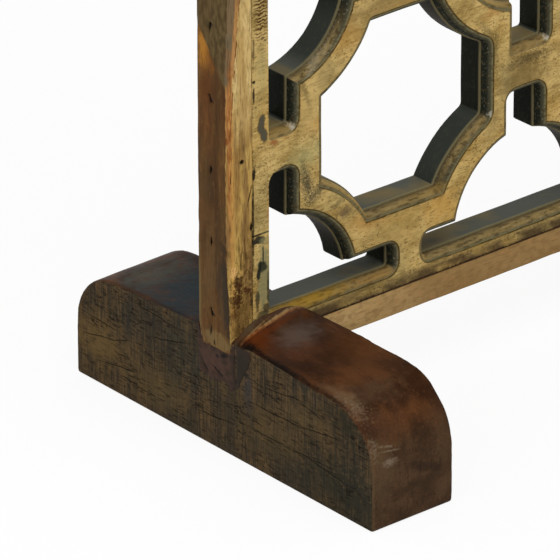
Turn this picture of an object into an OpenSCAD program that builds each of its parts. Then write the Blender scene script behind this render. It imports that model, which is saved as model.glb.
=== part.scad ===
// Free-standing openwork wooden fire screen.
// A frame of two posts and two rails holds a pierced board of eight-sided rings,
// and stands in trenches cut across two heavy block feet.
// X runs along the screen, Y from front to back and Z up.
// The origin is on the floor, in the middle between the feet.

/* [Feet] */
// Length of each foot, front to back
foot_l = 280; // [220:1:360]
// Width of each foot
foot_w = 64; // [54:1:90]
// Height of each foot
foot_h = 80; // [70:1:110]
// Radius of the rounded shoulders at both ends of a foot
shoulder_r = 44; // [20:1:50]
// Radius of the upright corners of a foot
foot_corner_r = 4; // [1:0.5:8]
// Depth of the trench that the frame stands in
trench_depth = 26.4; // [20:0.2:35]
// How far the frame stands behind the middle of the feet
frame_back = 5.7; // [0:0.1:20]

/* [Frame] */
// Width of a post, seen from the front
post_w = 18.2; // [15:0.1:30]
// Depth of the posts and rails, front to back
member_d = 30; // [27:0.5:45]
// Height of a rail
rail_h = 17.5; // [15:0.5:30]
// Width of the tenon on each end of a post
tenon_w = 8; // [5:0.5:10]
// Depth of the tenon, front to back
tenon_d = 18; // [10:0.5:22]
// Length of the tenon
tenon_l = 10; // [6:0.5:12]
// Play on each side of a tenon and of the frame in its trench
joint_play = 0.1; // [0.05:0.05:0.4]

/* [Fretwork] */
// Rings side by side
columns = 4; // [2:1:6]
// Rings one above the other
rows = 3; // [3:1:4]
// Width of a ring over its outer edges
ring_w = 167; // [150:0.5:190]
// Width of the flat band of a ring
band_w = 15; // [12:0.5:22]
// Gap between two rings
ring_gap = 29.5; // [26:0.5:36]
// Gap between the outermost rings and the upright border of the board
side_gap = 24.9; // [22:0.1:32]
// Gap between the outermost rings and the top and bottom border of the board
end_gap = 26.7; // [22:0.1:32]
// Radius of the outer arcs of a ring, centred between four rings
arc_r = 60; // [54:0.5:64]
// Width of the links that join the rings sideways
side_link = 20; // [14:0.5:26]
// Width of the links that join the rings upwards
up_link = 16; // [12:0.5:26]
// Radius of the rounded corners of the slots beside the links
slot_r = 10; // [8:0.5:11]
// Width of the board's upright border
stile_w = 12.9; // [10:0.1:24]
// Height of the board's top and bottom border
border_h = 8; // [6:0.5:16]
// Thickness of the board
board_t = 25; // [20:0.5:30]
// Height of the lowest and of the highest plank of the board
edge_plank = 70; // [60:0.5:80]

/* [Moulding] */
// Width of the rounded edge round each opening
ovolo_w = 5; // [3:0.5:6]
// Depth of the rounded edge
ovolo_d = 7; // [4:0.5:10]
// Width of the narrow step behind the rounded edge
fillet_w = 0.8; // [0.4:0.1:1.2]
// Steps that the rounded edge is cut in
ovolo_steps = 3; // [2:1:5]

/* [Fixings] */
// Radius of a nail
nail_r = 1.2; // [0.8:0.1:1.6]
// Radius of a nail's head
nail_head_r = 2; // [1.8:0.1:3]
// Thickness of a nail's head
nail_head_t = 0.8; // [0.5:0.1:1.2]
// How deep a nail's head is punched below the wood
nail_punch = 0.6; // [0.2:0.1:1]
// Length of a nail
nail_l = 30; // [24:1:30]
// Distance from one nail to the next
nail_pitch = 47; // [40:1:80]
// Height of the lowest nail above the floor
nail_first = 91; // [88:1:110]
// Radius of a foot screw
screw_r = 2.5; // [2:0.1:3]
// Radius of a foot screw's head
screw_head_r = 5; // [4:0.1:6]
// Thickness of a foot screw's head
screw_head_t = 3; // [2:0.5:4]
// Depth of the hole that hides the screw's head
screw_sink = 10; // [5:1:14]
// How far a foot screw reaches into the bottom rail
screw_bite = 5; // [3:0.5:6]
// Distance between the two screws of a foot
screw_gap = 30; // [20:1:34]
// Play round the shank of a nail or screw
shank_play = 0.05; // [0.02:0.01:0.2]

/* [Joint filler] */
// Depth of the filler patch over the joint on the outer side of a foot
filler_t = 3; // [1.5:0.5:5]
// How far the filler patch reaches in front of the frame
filler_front = 5; // [2:0.5:10]
// How far the filler patch reaches behind the frame
filler_back = 1.5; // [0.5:0.5:6]
// How far the filler patch reaches below the bottom rail
filler_below = 8; // [2:0.5:12]
// How far the top of the filler patch lies under the foot of the post
filler_drop = 2; // [0.5:0.5:4]
// Radius of the patch's corners
filler_r = 4; // [1:0.5:6]

/* [Hidden] */
$fn = 96;
// Flats that a small round corner is made of
corner_flats = 5;
// A cut runs this far past a face that it opens
over = 1;

pitch = ring_w + ring_gap;
hole_half = ring_w / 2 - band_w;
hole_arc_r = arc_r + band_w;
edge_w = ovolo_w + fillet_w;

rings_w = columns * pitch - ring_gap;
rings_h = rows * pitch - ring_gap;
inner_x = rings_w / 2 + side_gap;
board_x = inner_x + stile_w;
screen_x = board_x + post_w;

trench_z = foot_h - trench_depth;
board_z0 = trench_z + rail_h;
inner_z0 = board_z0 + border_h;
ring_z0 = inner_z0 + end_gap + ring_w / 2;
inner_z1 = inner_z0 + 2 * end_gap + rings_h;
board_z1 = inner_z1 + border_h;
screen_z = board_z1 + rail_h;

front_y = frame_back - member_d / 2;
back_y = frame_back + member_d / 2;
tenon_x = board_x + post_w / 2;

plank_joints = [
    board_z0,
    board_z0 + edge_plank,
    board_z0 + edge_plank + pitch,
    board_z0 + edge_plank + 2 * pitch,
    board_z1 - edge_plank,
    board_z1
];
nail_count = floor((board_z1 - border_h - nail_first) / nail_pitch) + 1;
nail_x = screen_x - nail_punch - nail_head_t;
screw_x = screen_x - foot_w / 2 - post_w / 4;
screw_l = trench_z - screw_sink + screw_bite;

// A flat outline drawn in X and Z, filled from y0 back to y1
module upright(y0, y1) {
    translate([0, y1, 0])
        rotate([90, 0, 0])
            linear_extrude(y1 - y0)
                children();
}

// A rectangle between two corners, given as its lower and upper limits
module rect(x0, x1, z0, z1) {
    translate([x0, z0])
        square([x1 - x0, z1 - z0]);
}

// The same rectangle with round corners, each turned in a few flats
module round_rect(x0, x1, z0, z1, r) {
    centres = [[x1 - r, z1 - r], [x0 + r, z1 - r], [x0 + r, z0 + r], [x1 - r, z0 + r]];
    polygon([
        for (quarter = [0:3], flat = [0:corner_flats])
            let (angle = 90 * (quarter + flat / corner_flats))
                centres[quarter] + r * [cos(angle), sin(angle)]
    ]);
}

// The eight-sided hole of a ring, drawn in by inset
module ring_hole(inset) {
    difference() {
        square(2 * (hole_half - inset), center = true);
        for (sx = [-1, 1], sz = [-1, 1])
            translate([sx * pitch / 2, sz * pitch / 2])
                circle(hole_arc_r + inset);
    }
}

// The cross-shaped opening between rings, or between rings and the border.
// Opening (0, 0) is in the lower left corner of the board.
module star_opening(i, j, inset) {
    x = (i - columns / 2) * pitch;
    z = ring_z0 + (j - 0.5) * pitch;
    left = i == 0 ? -inner_x : x - ring_gap / 2;
    right = i == columns ? inner_x : x + ring_gap / 2;
    low = j == 0 ? inner_z0 : z - ring_gap / 2;
    high = j == rows ? inner_z1 : z + ring_gap / 2;
    reach_x = (pitch - up_link) / 2;
    reach_z = (pitch - side_link) / 2;
    far_left = i == 0 ? left : x - reach_x;
    far_right = i == columns ? right : x + reach_x;
    far_low = j == 0 ? low : z - reach_z;
    far_high = j == rows ? high : z + reach_z;
    r = slot_r - inset;
    round_rect(left + inset, right - inset, far_low + inset, far_high - inset, r);
    round_rect(far_left + inset, far_right - inset, low + inset, high - inset, r);
    // Beside the border the round middle stops inside the slot that runs along it
    intersection() {
        translate([x, z])
            circle(arc_r - inset);
        rect(slot_r - inner_x, inner_x - slot_r, inner_z0 + slot_r, inner_z1 - slot_r);
    }
}

// Outline of the board from z0 to z1, with its openings drawn in by inset
module board_outline(z0, z1, inset) {
    difference() {
        rect(-board_x, board_x, z0, z1);
        for (i = [0:columns - 1], j = [0:rows - 1])
            if (abs(ring_z0 + j * pitch - (z0 + z1) / 2) < (z1 - z0) / 2 + hole_half)
                translate([(i - (columns - 1) / 2) * pitch, ring_z0 + j * pitch])
                    ring_hole(inset);
        for (i = [0:columns], j = [0:rows])
            if (abs(ring_z0 + (j - 0.5) * pitch - (z0 + z1) / 2) < (z1 - z0 + pitch) / 2)
                star_opening(i, j, inset);
    }
}

// One plank of the board: the full thickness behind, and a stepped rounded edge in front
module plank(k) {
    z0 = plank_joints[k];
    z1 = plank_joints[k + 1];
    step = 90 / ovolo_steps;
    difference() {
        union() {
            upright(front_y + ovolo_d, front_y + board_t)
                board_outline(z0, z1, edge_w);
            for (s = [0:ovolo_steps - 1])
                upright(
                    front_y + ovolo_d * (1 - cos(s * step)),
                    front_y + ovolo_d * (1 - cos((s + 1) * step))
                )
                    board_outline(z0, z1, ovolo_w * sin((s + 0.5) * step));
        }
        both_sides()
            nails(shank_play);
    }
}

module both_sides() {
    children();
    mirror([1, 0, 0])
        children();
}

// The right-hand nails, made larger by play when they are used as a cutter
module nails(play) {
    for (n = [0:nail_count - 1])
        translate([nail_x, frame_back, nail_first + n * nail_pitch]) {
            rotate([0, -90, 0])
                cylinder(r = nail_r + play, h = nail_l);
            rotate([0, 90, 0])
                cylinder(r = nail_head_r + play, h = play > 0 ? over + nail_punch + nail_head_t : nail_head_t);
        }
}

// The right-hand foot screws, head down, made larger by play when they are used as a cutter
module screws(play) {
    for (side = [-1, 1])
        translate([screw_x + side * screw_gap / 2, frame_back, screw_sink]) {
            cylinder(r = screw_r + play, h = screw_l);
            translate([0, 0, play > 0 ? -screw_sink - over : -screw_head_t])
                cylinder(r = screw_head_r + play, h = play > 0 ? screw_sink + over : screw_head_t);
        }
}

// The patch of filler over the right-hand joint
module filler_patch() {
    translate([screen_x - filler_t, 0, 0])
        rotate([90, 0, 90])
            linear_extrude(filler_t)
                round_rect(
                    front_y - filler_front,
                    back_y + filler_back,
                    trench_z - filler_below,
                    board_z0 - filler_drop,
                    filler_r
                );
}

module foot() {
    x0 = screen_x - foot_w;
    flat = foot_l / 2 - shoulder_r;
    difference() {
        intersection() {
            translate([x0, 0, 0])
                rotate([90, 0, 90])
                    linear_extrude(foot_w) {
                        rect(-foot_l / 2, foot_l / 2, 0, foot_h - shoulder_r);
                        rect(-flat, flat, 0, foot_h);
                        for (y = [-flat, flat])
                            translate([y, foot_h - shoulder_r])
                                circle(shoulder_r);
                    }
            linear_extrude(foot_h)
                round_rect(x0, screen_x, -foot_l / 2, foot_l / 2, foot_corner_r);
        }
        translate([x0 - over, front_y - joint_play, trench_z])
            cube([foot_w + 2 * over, member_d + 2 * joint_play, trench_depth + over]);
        filler_patch();
        screws(shank_play);
    }
}

module post() {
    difference() {
        union() {
            translate([board_x, front_y, board_z0])
                cube([post_w, member_d, board_z1 - board_z0]);
            translate([tenon_x - tenon_w / 2, frame_back - tenon_d / 2, board_z0 - tenon_l])
                cube([tenon_w, tenon_d, board_z1 - board_z0 + 2 * tenon_l]);
        }
        nails(shank_play);
    }
}

// A rail lying on z0, with a mortise near each end, cut from the edge at mortise_z
module rail(z0, mortise_z) {
    difference() {
        translate([-screen_x, front_y, z0])
            cube([2 * screen_x, member_d, rail_h]);
        both_sides()
            translate([tenon_x, frame_back, mortise_z])
                cube(
                    [tenon_w + 2 * joint_play, tenon_d + 2 * joint_play, 2 * (tenon_l + joint_play)],
                    center = true
                );
    }
}

module left_foot() {
    color("#3f2a1c")
        mirror([1, 0, 0])
            foot();
}

module right_foot() {
    color("#3f2a1c")
        foot();
}

module bottom_rail() {
    color("#a98560")
        difference() {
            rail(trench_z, board_z0);
            both_sides() {
                filler_patch();
                screws(shank_play);
            }
        }
}

module top_rail() {
    color("#a98560")
        rail(board_z1, board_z1);
}

module left_post() {
    color("#8a6440")
        mirror([1, 0, 0])
            post();
}

module right_post() {
    color("#8a6440")
        post();
}

module fretwork_plank(k) {
    color("#b28f55")
        plank(k);
}

module left_joint_filler() {
    color("#4a3430")
        mirror([1, 0, 0])
            filler_patch();
}

module right_joint_filler() {
    color("#4a3430")
        filler_patch();
}

module left_post_nails() {
    color("#2a2622")
        mirror([1, 0, 0])
            nails(0);
}

module right_post_nails() {
    color("#2a2622")
        nails(0);
}

module left_foot_screws() {
    color("#6b6a66")
        mirror([1, 0, 0])
            screws(0);
}

module right_foot_screws() {
    color("#6b6a66")
        screws(0);
}

left_foot();
right_foot();
bottom_rail();
top_rail();
left_post();
right_post();
fretwork_plank(0);  // fretwork_plank_1
fretwork_plank(1);  // fretwork_plank_2
fretwork_plank(2);  // fretwork_plank_3
fretwork_plank(3);  // fretwork_plank_4
fretwork_plank(4);  // fretwork_plank_5
left_joint_filler();
right_joint_filler();
left_post_nails();
right_post_nails();
left_foot_screws();
right_foot_screws();
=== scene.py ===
# Looks of a free-standing openwork wooden fire screen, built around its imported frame.
# Shapes are worked out in millimetres, in the frame's own axes, and scaled to metres when a piece is done.
import math
import random

import bmesh
import bpy
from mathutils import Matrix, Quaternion, Vector, noise
from mathutils.geometry import delaunay_2d_cdt


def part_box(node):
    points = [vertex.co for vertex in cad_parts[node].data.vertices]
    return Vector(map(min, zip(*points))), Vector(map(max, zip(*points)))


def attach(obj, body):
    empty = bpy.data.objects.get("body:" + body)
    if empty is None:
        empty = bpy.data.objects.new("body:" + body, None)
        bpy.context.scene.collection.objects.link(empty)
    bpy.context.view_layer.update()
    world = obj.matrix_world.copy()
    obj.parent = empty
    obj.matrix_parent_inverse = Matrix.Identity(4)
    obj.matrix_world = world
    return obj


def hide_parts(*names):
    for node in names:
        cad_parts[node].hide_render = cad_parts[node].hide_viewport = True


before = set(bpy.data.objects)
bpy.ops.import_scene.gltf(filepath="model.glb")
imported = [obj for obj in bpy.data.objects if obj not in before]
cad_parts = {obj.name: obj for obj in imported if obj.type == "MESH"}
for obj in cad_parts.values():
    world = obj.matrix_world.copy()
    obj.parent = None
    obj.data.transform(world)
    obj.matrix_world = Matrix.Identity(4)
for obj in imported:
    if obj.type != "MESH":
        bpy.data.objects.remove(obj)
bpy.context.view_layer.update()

MM = 0.001
random.seed(18)


def box_mm(node):
    """Lowest and highest corner of a node, in millimetres."""
    low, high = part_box(node)
    return low / MM, high / MM


# Sizes taken from the frame
foot_low, foot_high = box_mm("left_foot")
rail_low, rail_high = box_mm("bottom_rail")
top_rail_low, top_rail_high = box_mm("top_rail")
plank_boxes = [box_mm(f"fretwork_plank_{number}") for number in range(1, 6)]
board_low = plank_boxes[0][0]
board_high = plank_boxes[-1][1]
FRONT_Y = board_low.y
BACK_Y = board_high.y
SCREEN_X = rail_high.x
BOARD_X = board_high.x
MEMBER_BACK_Y = rail_high.y
TRENCH_Z = rail_low.z
FOOT_TOP = foot_high.z
FOOT_W = foot_high.x - foot_low.x

# Driving sizes of the openwork
COLUMNS = 4
ROWS = 3
RING_W = 167.0
RING_GAP = 29.5
BAND_W = 15.0
ARC_R = 60.0
SIDE_LINK = 20.0
UP_LINK = 16.0
SLOT_R = 10.0
BORDER_H = 8.0
STILE_W = 12.9
PITCH = RING_W + RING_GAP
HOLE_HALF = RING_W / 2 - BAND_W
INNER_X = BOARD_X - STILE_W
INNER_LOW = board_low.z + BORDER_H
INNER_HIGH = board_high.z - BORDER_H
END_GAP = (INNER_HIGH - INNER_LOW - ROWS * PITCH + RING_GAP) / 2
FIRST_RING_Z = INNER_LOW + END_GAP + RING_W / 2
filler_low, filler_high = box_mm("left_joint_filler")
rail_end_gap = filler_high.x - filler_low.x

# Driving sizes of the other pieces
SHOULDER_R = 44.0
JOINT_PLAY = 0.1
NAIL_PITCH = 47.0
NAIL_FIRST = 91.0
NAIL_COUNT = 13


# Meshes


def waver(point, wavelength, seed=0.0):
    """Smooth unevenness between about -1 and 1, for hand-worked wood."""
    return noise.noise(Vector(point) / wavelength + Vector((seed, 3.1 * seed, 7.7 * seed)))


def slices(bm, axis, places, tolerance=1e-4):
    """Cuts the mesh by planes across one axis, so that it has points to shape there."""
    normal = Vector([float(index == axis) for index in range(3)])
    for place in places:
        everything = bm.verts[:] + bm.edges[:] + bm.faces[:]
        bmesh.ops.bisect_plane(bm, geom=everything, dist=tolerance, plane_co=normal * place, plane_no=normal)


def spaced(low, high, step):
    """Places between two limits, a step apart, that keep clear of both."""
    count = max(int((high - low) / step), 1)
    return [low + (high - low) * index / count for index in range(1, count)]


def make_piece(bm, name, nodes, material, sharp=34.0):
    """Turns a finished bmesh in millimetres into a piece that stands for CAD nodes."""
    bmesh.ops.scale(bm, vec=Vector((MM, MM, MM)), verts=bm.verts)
    mesh = bpy.data.meshes.new(name)
    bm.to_mesh(mesh)
    bm.free()
    mesh.shade_smooth()
    mesh.set_sharp_from_angle(angle=math.radians(sharp))
    mesh.materials.append(material)
    piece = bpy.data.objects.new(name, mesh)
    bpy.context.scene.collection.objects.link(piece)
    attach(piece, "root")
    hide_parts(*nodes)
    return piece


# Openings of the board. A side is a line across X or Z, or an arc round a point, and inward is the way that it
# moves when the outline is drawn in. Share is 1 where the side is moulded, and near 0 where it is left square.


def line(axis, place, inward, share=1.0):
    return {"axis": axis, "place": place, "inward": inward, "share": share}


def arc(x, z, radius, inward, quadrant):
    return {"axis": "arc", "centre": (x, z), "place": radius, "inward": inward, "quadrant": quadrant, "share": 1.0}


def moved(side, inset, more=0.0):
    return side["place"] + side["inward"] * (inset * side["share"] + more)


def crossing(a, b, inset, more):
    """The point where two neighbouring sides meet once the outline is drawn in."""
    if a["axis"] == "arc":
        a, b = b, a
    across = moved(a, inset, more)
    if b["axis"] == "arc":
        index = "xz".index(a["axis"])
        reach = math.sqrt(max(moved(b, inset, more) ** 2 - (across - b["centre"][index]) ** 2, 0.0))
        along = b["centre"][1 - index] + b["quadrant"][1 - index] * reach
    else:
        along = moved(b, inset, more)
    return Vector((across, along)) if a["axis"] == "x" else Vector((along, across))


def foot_of(side, point, inset):
    """The point of a side that lies nearest to another point."""
    if side["axis"] == "x":
        return Vector((moved(side, inset), point.y))
    if side["axis"] == "z":
        return Vector((point.x, moved(side, inset)))
    centre = Vector(side["centre"])
    return centre + (point - centre).normalized() * moved(side, inset)


def swept(centre, start, end, steps):
    """Points on the short way round a centre from start to end, with the ends."""
    first = math.atan2(start.y - centre.y, start.x - centre.x)
    turn = math.atan2(end.y - centre.y, end.x - centre.x) - first
    turn = (turn + math.pi) % (2 * math.pi) - math.pi
    radius = (start - centre).length
    angles = [first + turn * step / steps for step in range(steps + 1)]
    return [centre + radius * Vector((math.cos(angle), math.sin(angle))) for angle in angles]


LINE_STEPS = 6
ARC_STEPS = 12
CORNER_STEPS = 5
CORNER_SHRINK = 1.4
SMALLEST_CORNER = 0.35


def outline(sides, corners, inset):
    """Closed outline of an opening, drawn in by inset. A corner radius below 0 rounds the wood, not the opening."""
    count = len(sides)
    rounds = []
    for index in range(count):
        before, after, radius = sides[index - 1], sides[index], corners[index]
        if radius > 0:
            radius = max(radius - CORNER_SHRINK * max(inset, 0.0), SMALLEST_CORNER)
        centre = crossing(before, after, inset, radius)
        rounds.append(swept(centre, foot_of(before, centre, inset), foot_of(after, centre, inset), CORNER_STEPS))
    points = []
    shares = []
    for index, side in enumerate(sides):
        points += rounds[index]
        shares += [min(sides[index - 1]["share"], side["share"])] * len(rounds[index])
        start, end = rounds[index][-1], rounds[(index + 1) % count][0]
        if side["axis"] == "arc":
            between = swept(Vector(side["centre"]), start, end, ARC_STEPS)[1:-1]
        else:
            between = [start.lerp(end, step / LINE_STEPS) for step in range(1, LINE_STEPS)]
        points += between
        shares += [side["share"]] * len(between)
    return points, shares


HAND_ERROR = 0.9


def hand_cut(names):
    """A small error for each side that a carver cuts by eye."""
    return {name: random.uniform(-HAND_ERROR, HAND_ERROR) for name in names}


# Sides that the photograph shows off their regular place, in millimetres
RING_SIDES = ("east", "north", "west", "south", "ne", "nw", "sw", "se")
STAR_SIDES = ("low", "high", "left", "right", "far_low", "far_high", "far_left", "far_right", "ne", "nw", "sw", "se")
SEEN_RINGS = {
    (0, 0): {"east": 1.9, "north": 1.2, "west": -1.2, "south": 2.0, "ne": 1.0, "nw": -1.0, "sw": -2.2, "se": 0.0},
}
SEEN_STARS = {
    (0, 0): {"left": -0.6, "right": -1.0, "low": 0.9, "high": -0.3, "far_high": 1.7, "far_right": 3.0, "ne": -0.7},
    (1, 0): {
        "left": -4.8, "right": 1.0, "low": 0.9, "high": -1.5, "far_left": 2.5, "far_high": -1.3,
        "nw": 1.2, "ne": -1.5,
    },
    (0, 1): {"left": -0.6, "right": -1.0, "far_low": 0.7, "se": -1.4},
    (1, 1): {"left": -1.0, "right": 5.0, "far_low": -0.3, "sw": 0.0},
}
RING_CORNERS = (12.0, 11.0, 4.5, 5.0, 3.5, 2.0, 2.0, 2.5)
# Corners of the openings that were cut tighter than the rest, counted along the outline
SEEN_CORNERS = {(1, 1): {13: 3.0}}
WOOD_CORNER = -0.7
SQUARE_SHARE = 0.06


def ring_opening(column, row):
    """The eight-sided hole of one ring: four straight sides and the backs of four arcs."""
    x = (column - (COLUMNS - 1) / 2) * PITCH
    z = FIRST_RING_Z + row * PITCH
    off = {**hand_cut(RING_SIDES), **SEEN_RINGS.get((column, row), {})}
    radius = ARC_R + BAND_W
    half = PITCH / 2
    sides = [
        line("x", x + HOLE_HALF + off["east"], -1),
        arc(x + half, z + half, radius + off["ne"], 1, (-1, -1)),
        line("z", z + HOLE_HALF + off["north"], -1),
        arc(x - half, z + half, radius + off["nw"], 1, (1, -1)),
        line("x", x - HOLE_HALF + off["west"], 1),
        arc(x - half, z - half, radius + off["sw"], 1, (1, 1)),
        line("z", z - HOLE_HALF + off["south"], 1),
        arc(x + half, z - half, radius + off["se"], 1, (-1, 1)),
    ]
    return sides, list(RING_CORNERS)


def star_opening(i, j):
    """The opening between four rings, or between rings and the border: arcs, and a slot towards each side."""
    x = (i - COLUMNS / 2) * PITCH
    z = FIRST_RING_Z + (j - 0.5) * PITCH
    off = {**hand_cut(STAR_SIDES), **SEEN_STARS.get((i, j), {})}
    left = (x - RING_GAP / 2 if i > 0 else -INNER_X) + off["left"]
    right = (x + RING_GAP / 2 if i < COLUMNS else INNER_X) + off["right"]
    low = (z - RING_GAP / 2 if j > 0 else INNER_LOW) + off["low"]
    high = (z + RING_GAP / 2 if j < ROWS else INNER_HIGH) + off["high"]
    reach_x = (PITCH - UP_LINK) / 2
    reach_z = (PITCH - SIDE_LINK) / 2
    quarters = [
        ("ne", i < COLUMNS and j < ROWS, (1, 1)),
        ("nw", i > 0 and j < ROWS, (-1, 1)),
        ("sw", i > 0 and j > 0, (-1, -1)),
        ("se", i < COLUMNS and j > 0, (1, -1)),
    ]
    west = line("x", left, 1, 1.0 if i > 0 else SQUARE_SHARE)
    east = line("x", right, -1, 1.0 if i < COLUMNS else SQUARE_SHARE)
    south, north = line("z", low, 1), line("z", high, -1)
    slots = [
        [south, line("x", x + reach_x + off["far_right"], -1), north],
        [east, line("z", z + reach_z + off["far_high"], -1), west],
        [north, line("x", x - reach_x + off["far_left"], 1), south],
        [west, line("z", z - reach_z + off["far_low"], 1), east],
    ]
    sides = []
    for slot, (name, present, quadrant) in enumerate(quarters):
        if present or quarters[slot - 1][1]:
            sides += slots[slot]
        if present:
            sides.append(arc(x, z, ARC_R + off[name], -1, quadrant))
    sides = [side for index, side in enumerate(sides) if side is not sides[index - 1]]
    corners = []
    for index, side in enumerate(sides):
        pair = (sides[index - 1], side)
        meets_arc = "arc" in (pair[0]["axis"], pair[1]["axis"])
        meets_stile = min(pair[0]["share"], pair[1]["share"]) < 1
        under_slot = any(item is slots[1][1] for item in pair)
        square = meets_stile and not under_slot
        usual = WOOD_CORNER if meets_arc else SMALLEST_CORNER if square else SLOT_R
        corners.append(SEEN_CORNERS.get((i, j), {}).get(index, usual))
    return sides, corners


# Section of the moulded edge, from the face inwards: how far in, how deep, and four marks for the material, which
# are the dark line, the way across the moulding, the stained wall and the pale fillet
OVOLO_START = (0.8, 0.5)
OVOLO_END = (4.85, 6.85)
OVOLO_STEPS = 7
THICK = BACK_Y - FRONT_Y
SECTION = [
    (-3.0, 0.0, 0.0, 0.0, 0.0, 0.0),
    (-0.9, 0.0, 0.05, 0.0, 0.0, 0.0),
    (-0.25, 0.0, 0.25, 0.0, 0.0, 0.0),
    (0.1, 0.35, 1.0, 0.0, 0.0, 0.0),
    (0.55, 0.45, 1.0, 0.08, 0.0, 0.0),
]
for step in range(OVOLO_STEPS + 1):
    angle = math.pi / 2 * step / OVOLO_STEPS
    across = OVOLO_START[0] + (OVOLO_END[0] - OVOLO_START[0]) * math.sin(angle)
    deep = OVOLO_START[1] + (OVOLO_END[1] - OVOLO_START[1]) * (1 - math.cos(angle))
    SECTION.append((across, deep, 0.2 if step == 0 else 0.0, 0.15 + 0.85 * step / OVOLO_STEPS, 0.0, 0.0))
SECTION += [
    (4.9, 6.98, 0.0, 1.0, 0.0, 1.0),
    (5.7, 7.1, 0.0, 1.0, 0.0, 1.0),
    (5.85, 7.6, 0.0, 1.0, 1.0, 0.8),
    (5.9, 8.8, 0.0, 1.0, 1.0, 0.0),
    (5.9, THICK - 2.0, 0.0, 1.0, 1.0, 0.0),
    (5.7, THICK - 0.5, 0.0, 1.0, 0.9, 0.0),
    (5.2, THICK, 0.5, 0.0, 0.0, 0.0),
    (3.0, THICK, 0.0, 0.0, 0.0, 0.0),
]


def carve(bm, sides, corners, place_layer, tone_layer):
    """Carves one opening: a loop on the face that is drawn out along the section, to the back."""
    edges = []
    front_edges = []
    for row, (inset, deep, line_tone, across, wall, fillet) in enumerate(SECTION):
        points, shares = outline(sides, corners, inset)
        further = outline(sides, corners, inset + 0.3)[0]
        if row == 0:
            fresh = []
            for index in range(len(points)):
                vert = bm.verts.new()
                vert[place_layer] = index
                fresh.append(vert)
            front_edges = [bm.edges.new((fresh[index - 1], fresh[index])) for index in range(len(fresh))]
            edges = front_edges
        else:
            made = bmesh.ops.extrude_edge_only(bm, edges=edges)["geom"]
            fresh = {item for item in made if isinstance(item, bmesh.types.BMVert)}
            edges = [
                item for item in made
                if isinstance(item, bmesh.types.BMEdge) and item.verts[0] in fresh and item.verts[1] in fresh
            ]
        for vert in fresh:
            place = vert[place_layer]
            point, share = points[place], shares[place]
            vert.co = (point.x, FRONT_Y + deep, point.y)
            moulded = across if wall else across * share
            # The dark line is laid weaker where the moulding turns towards +X
            rubbed = 1 - 0.5 * max((further[place] - point).normalized().x, 0.0)
            vert[tone_layer] = (line_tone * share * rubbed, moulded, wall, fillet * share)
    return front_edges, edges


def close_side(bm, edges, rim_edge):
    """Closes the front or back between the rim and the openings. The filling operator loses its way between so
    many openings, so the triangles are found by Blender's own triangulation, and those in openings are left out."""
    verts = list({vert for edge in edges for vert in edge.verts})
    numbers = {vert: number for number, vert in enumerate(verts)}
    places = [Vector((vert.co.x, vert.co.z)) for vert in verts]
    ends = [(numbers[edge.verts[0]], numbers[edge.verts[1]]) for edge in edges]
    found = delaunay_2d_cdt(places, ends, [], 0, 1e-6)
    came_from = [group[0] for group in found[3]]
    triangles = [[came_from[index] for index in triangle] for triangle in found[2]]
    beside = {}
    for number, (a, b, c) in enumerate(triangles):
        for pair in ((a, b), (b, c), (c, a)):
            beside.setdefault(frozenset(pair), []).append(number)
    outlines = {frozenset(pair) for pair in ends}
    waiting = list(beside[frozenset(numbers[vert] for vert in rim_edge.verts)])
    wood = set()
    while waiting:
        number = waiting.pop()
        if number in wood:
            continue
        wood.add(number)
        a, b, c = triangles[number]
        bm.faces.new((verts[a], verts[b], verts[c]))
        for pair in (frozenset((a, b)), frozenset((b, c)), frozenset((c, a))):
            if pair not in outlines:
                waiting += beside[pair]


EDGE_WAVE = 0.34
EDGE_RIPPLE = 0.13
ARRIS = 0.4


def whole_board():
    """The carved board before it is sawn into its planks again."""
    bm = bmesh.new()
    place_layer = bm.verts.layers.int.new("place")
    tone_layer = bm.verts.layers.float_color.new("carving")
    front_edges, back_edges = [], []
    openings = [ring_opening(column, row) for column in range(COLUMNS) for row in range(ROWS)]
    openings += [star_opening(i, j) for i in range(COLUMNS + 1) for j in range(ROWS + 1)]
    for sides, corners in openings:
        front, back = carve(bm, sides, corners, place_layer, tone_layer)
        front_edges += front
        back_edges += back
    for vert in bm.verts:
        wave = Vector((waver(vert.co, 26, 1.0), 0, waver(vert.co, 26, 2.0))) * EDGE_WAVE
        ripple = Vector((waver(vert.co, 8, 3.0), 0, waver(vert.co, 8, 4.0))) * EDGE_RIPPLE
        vert.co += wave + ripple

    rim = [
        bm.verts.new((x, FRONT_Y, z))
        for x, z in (
            (board_low.x + ARRIS, board_low.z + ARRIS),
            (board_high.x - ARRIS, board_low.z + ARRIS),
            (board_high.x - ARRIS, board_high.z - ARRIS),
            (board_low.x + ARRIS, board_high.z - ARRIS),
        )
    ]
    for vert in rim:
        vert[tone_layer] = (0.0, 0.0, 0.0, 0.0)
    edges = [bm.edges.new((rim[index - 1], rim[index])) for index in range(4)]
    front_edges += edges
    middle = (board_low + board_high) / 2
    for grown, y in ((ARRIS, FRONT_Y + ARRIS), (0.0, BACK_Y - ARRIS), (-ARRIS, BACK_Y)):
        made = bmesh.ops.extrude_edge_only(bm, edges=edges)["geom"]
        fresh = {item for item in made if isinstance(item, bmesh.types.BMVert)}
        for vert in fresh:
            vert.co.x += grown * math.copysign(1, vert.co.x - middle.x)
            vert.co.z += grown * math.copysign(1, vert.co.z - middle.z)
            vert.co.y = y
        edges = [
            item for item in made
            if isinstance(item, bmesh.types.BMEdge) and item.verts[0] in fresh and item.verts[1] in fresh
        ]
    back_edges += edges
    close_side(bm, front_edges, front_edges[-1])
    close_side(bm, back_edges, back_edges[-1])
    bmesh.ops.recalc_face_normals(bm, faces=bm.faces)
    return bm


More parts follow.
